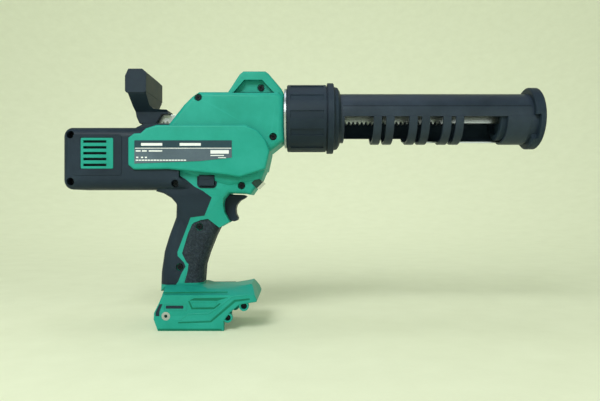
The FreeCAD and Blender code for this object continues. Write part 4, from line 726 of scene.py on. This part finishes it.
def turned(name, profile, x, z, side, material, around=40):
    """A (radius, y) profile in mm turned about a line along Y through (x, z)."""
    radius, reach = np.array(profile, float).T
    angle = np.linspace(0, 2 * math.pi, around, endpoint=False)
    points = np.stack([
        x + np.outer(radius, np.cos(angle)),
        side * np.outer(reach, np.ones(around)),
        z + np.outer(radius, np.sin(angle)),
    ], axis=2).reshape(-1, 3) * MM
    faces = grid_faces(len(radius), around, wrap_columns=True).tolist()
    piece = new_piece(name, points, faces, material)
    point_faces_outwards(piece.data)
    mark_sharp(piece.data, 35)
    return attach(piece, "root")


def screw_ear(name, x, z, side):
    """A round ear on the foot's wall with a sunk screw: a stepped profile turned about Y."""
    turned(name, [(0.0, 31.6), (4.7, 31.6), (5.1, 32.0), (5.1, 36.9), (4.6, 37.4), (3.6, 37.4),
                  (3.2, 37.0), (3.2, 33.4), (0.0, 33.4)], x, z, side, green_nylon)
    turned(name + "_screw", [(0.0, 33.4), (2.9, 33.4), (2.9, 34.4), (2.3, 35.2), (1.3, 35.3),
                             (1.0, 34.3), (0.0, 34.2)], x, z, side, black_oxide)


def grip_pebbles(word, side):
    """Low domes on a hexagonal grid inside the pad: each is a squashed half sphere."""
    step, radius, height = 1.7, 0.62, 0.28
    face = 17.0
    pad = np.array([
        (-97.0, -124.0), (-81.0, -124.0), (-91.0, -150.0), (-96.0, -176.0), (-105.0, -176.0),
        (-102.0, -158.0), (-107.5, -146.5), (-103.0, -132.0),
    ])
    columns, rows = np.meshgrid(np.arange(-110, -76, step), np.arange(-178, -118, step * 0.866))
    shift = (np.arange(rows.shape[0]) % 2)[:, None] * step / 2
    spots = np.column_stack([(columns + shift).ravel(), rows.ravel()])
    x0, z0 = pad.T
    x1, z1 = np.roll(pad, -1, axis=0).T
    x, z = spots[:, :1], spots[:, 1:]
    crossing = ((z0 > z) != (z1 > z)) & (x < (x1 - x0) * (z - z0) / (z1 - z0 + 1e-9) + x0)
    spots = spots[crossing.sum(axis=1) % 2 == 1]
    around = np.arange(8) * math.pi / 4
    tilt = np.array([0.0, 0.6, 1.15])
    out = np.cos(tilt)[:, None] * radius
    up = np.sin(tilt)[:, None] * height * np.ones(8)
    dome = np.stack([out * np.cos(around), up, out * np.sin(around)], 2)
    dome = np.vstack([dome.reshape(-1, 3), [[0, height, 0]]])
    faces = grid_faces(3, 8, wrap_columns=True).tolist()
    faces += [[16 + i, 16 + (i + 1) % 8, 24] for i in range(8)] + [list(range(8))]
    centres = np.column_stack([spots[:, 0], np.full(len(spots), face - 0.04), spots[:, 1]])
    points = (centres[:, None] + dome[None]) * [1, side, 1] * MM
    all_faces = [[k + 25 * i for k in f] for i in range(len(spots)) for f in faces]
    piece = new_piece(word + "_grip_pebbles", points.reshape(-1, 3), all_faces, soft_grip)
    point_faces_outwards(piece.data)
    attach(piece, "root")


def frame_plate(name, outer, inner, low, high, material, side):
    """A flat ring between two (x, z) loops of equally many points, from y = low to high."""
    count = len(outer)
    rings = [(outer, low), (outer, high), (inner, high), (inner, low)]
    points = np.vstack([
        np.column_stack([loop[:, 0], np.full(count, side * y), loop[:, 1]]) for loop, y in rings
    ]) * MM
    faces = grid_faces(4, count, wrap_rows=True, wrap_columns=True)
    piece = new_piece(name, points, faces.tolist(), material)
    point_faces_outwards(piece.data)
    mark_sharp(piece.data, 30)
    bevelled(piece, 0.3 * MM)
    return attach(piece, "root")


def cover_panel(word, side):
    """The panel round the vent, the vent's rim and backing, and the button's bezel and bar."""
    frame_plate(word + "_cover_panel", rounded_frame(-222.4, -171.4, -63.6, -20.6, 2.5),
                rounded_frame(-214.7, -179.8, -57.0, -23.8, 1.2), 31.4, 32.55, charcoal_nylon, side)
    frame_plate(word + "_vent_rim", rounded_frame(-214.2, -180.3, -56.5, -24.3, 1.4),
                rounded_frame(-213.0, -181.5, -55.3, -25.5, 0.9), 31.2, 32.5, green_nylon, side)
    button = nodes["direction_button"]["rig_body"]
    side_rib(word + "_button_bezel", rounded_frame(-92.8, -74.2, -75.7, -62.1, 3.5),
             25.0 * MM, 2.2 * MM, 0.9 * MM, charcoal_nylon, side, closed=True)
    side_plate(word + "_button_bar", rounded_frame(-89.8, -77.2, -67.4, -64.4, 1.3),
               29.0 * MM, 0.6 * MM, charcoal_nylon, side, button, round_by=0.25 * MM)
    side_plate(word + "_vent_gauze", rounded_frame(-213, -181, -56, -25, 1.5),
               26.9 * MM, 0.4 * MM, charcoal_nylon, side)


def cover_ramp(word, side):
    """Blends the round barrel into the flat grip block.

    Each section across X is the barrel's rounded lower edge, y = 21 + sqrt(121 - (z + 67.2)^2),
    scaled down to the block's face by a smooth step along X, and closed by a flat back.
    """
    block, back = 24.9, 24.0
    sections = []
    for t in np.linspace(0, 1, 11):
        x = -112.6 + 14.0 * t
        z = np.linspace(-65.4 - 0.66 * (x + 112.2), -77.4, 14)
        barrel = 21 + np.sqrt(np.maximum(121 - np.minimum(z + 67.2, 0) ** 2, 0))
        fade = 1 - t * t * (3 - 2 * t)
        y = block + np.maximum(barrel - 0.05 - block, 0) * fade
        outer = np.column_stack([np.full(14, x), y, z])
        inner = np.column_stack([np.full(14, x), np.full(14, back), z])[::-1]
        sections.append(np.vstack([outer, inner]))
    points = np.vstack(sections) * [1, side, 1] * MM
    faces = grid_faces(11, 28, wrap_columns=True).tolist()
    faces += [list(range(28)), list(range(280, 308))]
    piece = new_piece(word + "_cover_ramp", points, faces, charcoal_nylon)
    point_faces_outwards(piece.data)
    mark_sharp(piece.data, 40)
    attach(piece, "root")


for word, side in SIDES.items():
    cover_ramp(word, side)
    label_print(word, side)
    foot_relief(word, side)
    grip_pebbles(word, side)
    cover_panel(word, side)


def holder_rail(name, x_low, x_high, outline, material, round_by=0.12 * MM):
    """A bar along the holder: a (y, z) outline in mm carried straight along X, with closed ends."""
    flat = np.array(outline, float) * MM
    count = len(flat)
    points = np.vstack([
        np.column_stack([np.full(count, x * MM), flat]) for x in (x_low, x_high)
    ])
    faces = grid_faces(2, count, wrap_columns=True).tolist()
    faces += [list(range(count)), list(range(count, 2 * count))]
    piece = new_piece(name, points, faces, material)
    point_faces_outwards(piece.data)
    mark_sharp(piece.data, 30)
    bevelled(piece, round_by)
    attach(piece, nodes["holder"]["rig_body"])


def round_the_tube(radius, low_z, high_z, far=False, steps=12):
    """The tube's section between two heights: y = -sqrt(r^2 - z^2), or + on the far side."""
    z = np.linspace(low_z, high_z, steps)
    y = np.sqrt(radius ** 2 - z ** 2) * (1 if far else -1)
    return np.column_stack([y, z])


# A flat facet runs above the windows, standing a little proud of the round tube at its top edge.
facet = [(-27.05, -0.9), (-27.05, 6.4), (-26.1, 9.9)]
holder_rail(
    "holder_facet", 60.0, 260.0,
    np.vstack([facet, round_the_tube(26.6, -0.9, 9.6)[::-1]]), coated_steel,
)
# The far wall reaches lower beyond the second straps, and its sheared edge is bare steel.
holder_rail(
    "holder_far_wall", 128.0, 233.5,
    np.vstack([round_the_tube(26.7, -25.0, -20.0, far=True),
               round_the_tube(25.3, -24.6, -20.0, far=True)[::-1]]),
    coated_steel,
)
holder_rail(
    "holder_bare_edge", 128.5, 233.0,
    [(5.4, -24.6), (5.4, -26.0), (6.8, -26.0), (9.0, -25.1), (8.0, -24.6)], plated_steel, 0.1 * MM,
)
# A thin black strip above the facet paints the shadow line along its proud top edge.
holder_rail(
    "holder_shadow_line", 60.5, 259.5,
    np.vstack([round_the_tube(26.78, 9.7, 10.6, steps=4),
               round_the_tube(26.95, 9.7, 10.6, steps=4)[::-1]]),
    black_oxide, 0.03 * MM,
)


# ---------------------------------------------------------------------------------------------
# Floor
# ---------------------------------------------------------------------------------------------


def studio_bowl():
    """A round floor that sweeps up into a wall: a profile turned about Z."""
    flat, turn, top = 1.1, 2.2, 4.0
    angle = np.linspace(0, math.pi / 2, 17)
    radius = np.concatenate([[0.0, 0.5, 0.8], flat + turn * np.sin(angle), [flat + turn]])
    height = np.concatenate([[0, 0, 0], turn * (1 - np.cos(angle)), [top]]) + cad_low.z
    around = np.linspace(0, 2 * math.pi, 96, endpoint=False)
    points = np.stack(
        [
            np.outer(radius, np.cos(around)),
            np.outer(radius, np.sin(around)),
            np.outer(height, np.ones_like(around)),
        ],
        axis=2,
    ).reshape(-1, 3)
    faces = grid_faces(len(radius), len(around), wrap_columns=True).tolist()
    paper = moulded(
        "matt_studio_paper",
        [(0.3, FLOOR_PALE), (0.7, "#dfe5cb")], 0.85, 3.0, 0.02, 0.03, gloss_level=0.1, glow=0.12,
    )
    new_piece("studio_floor", points, faces, paper)


studio_bowl()
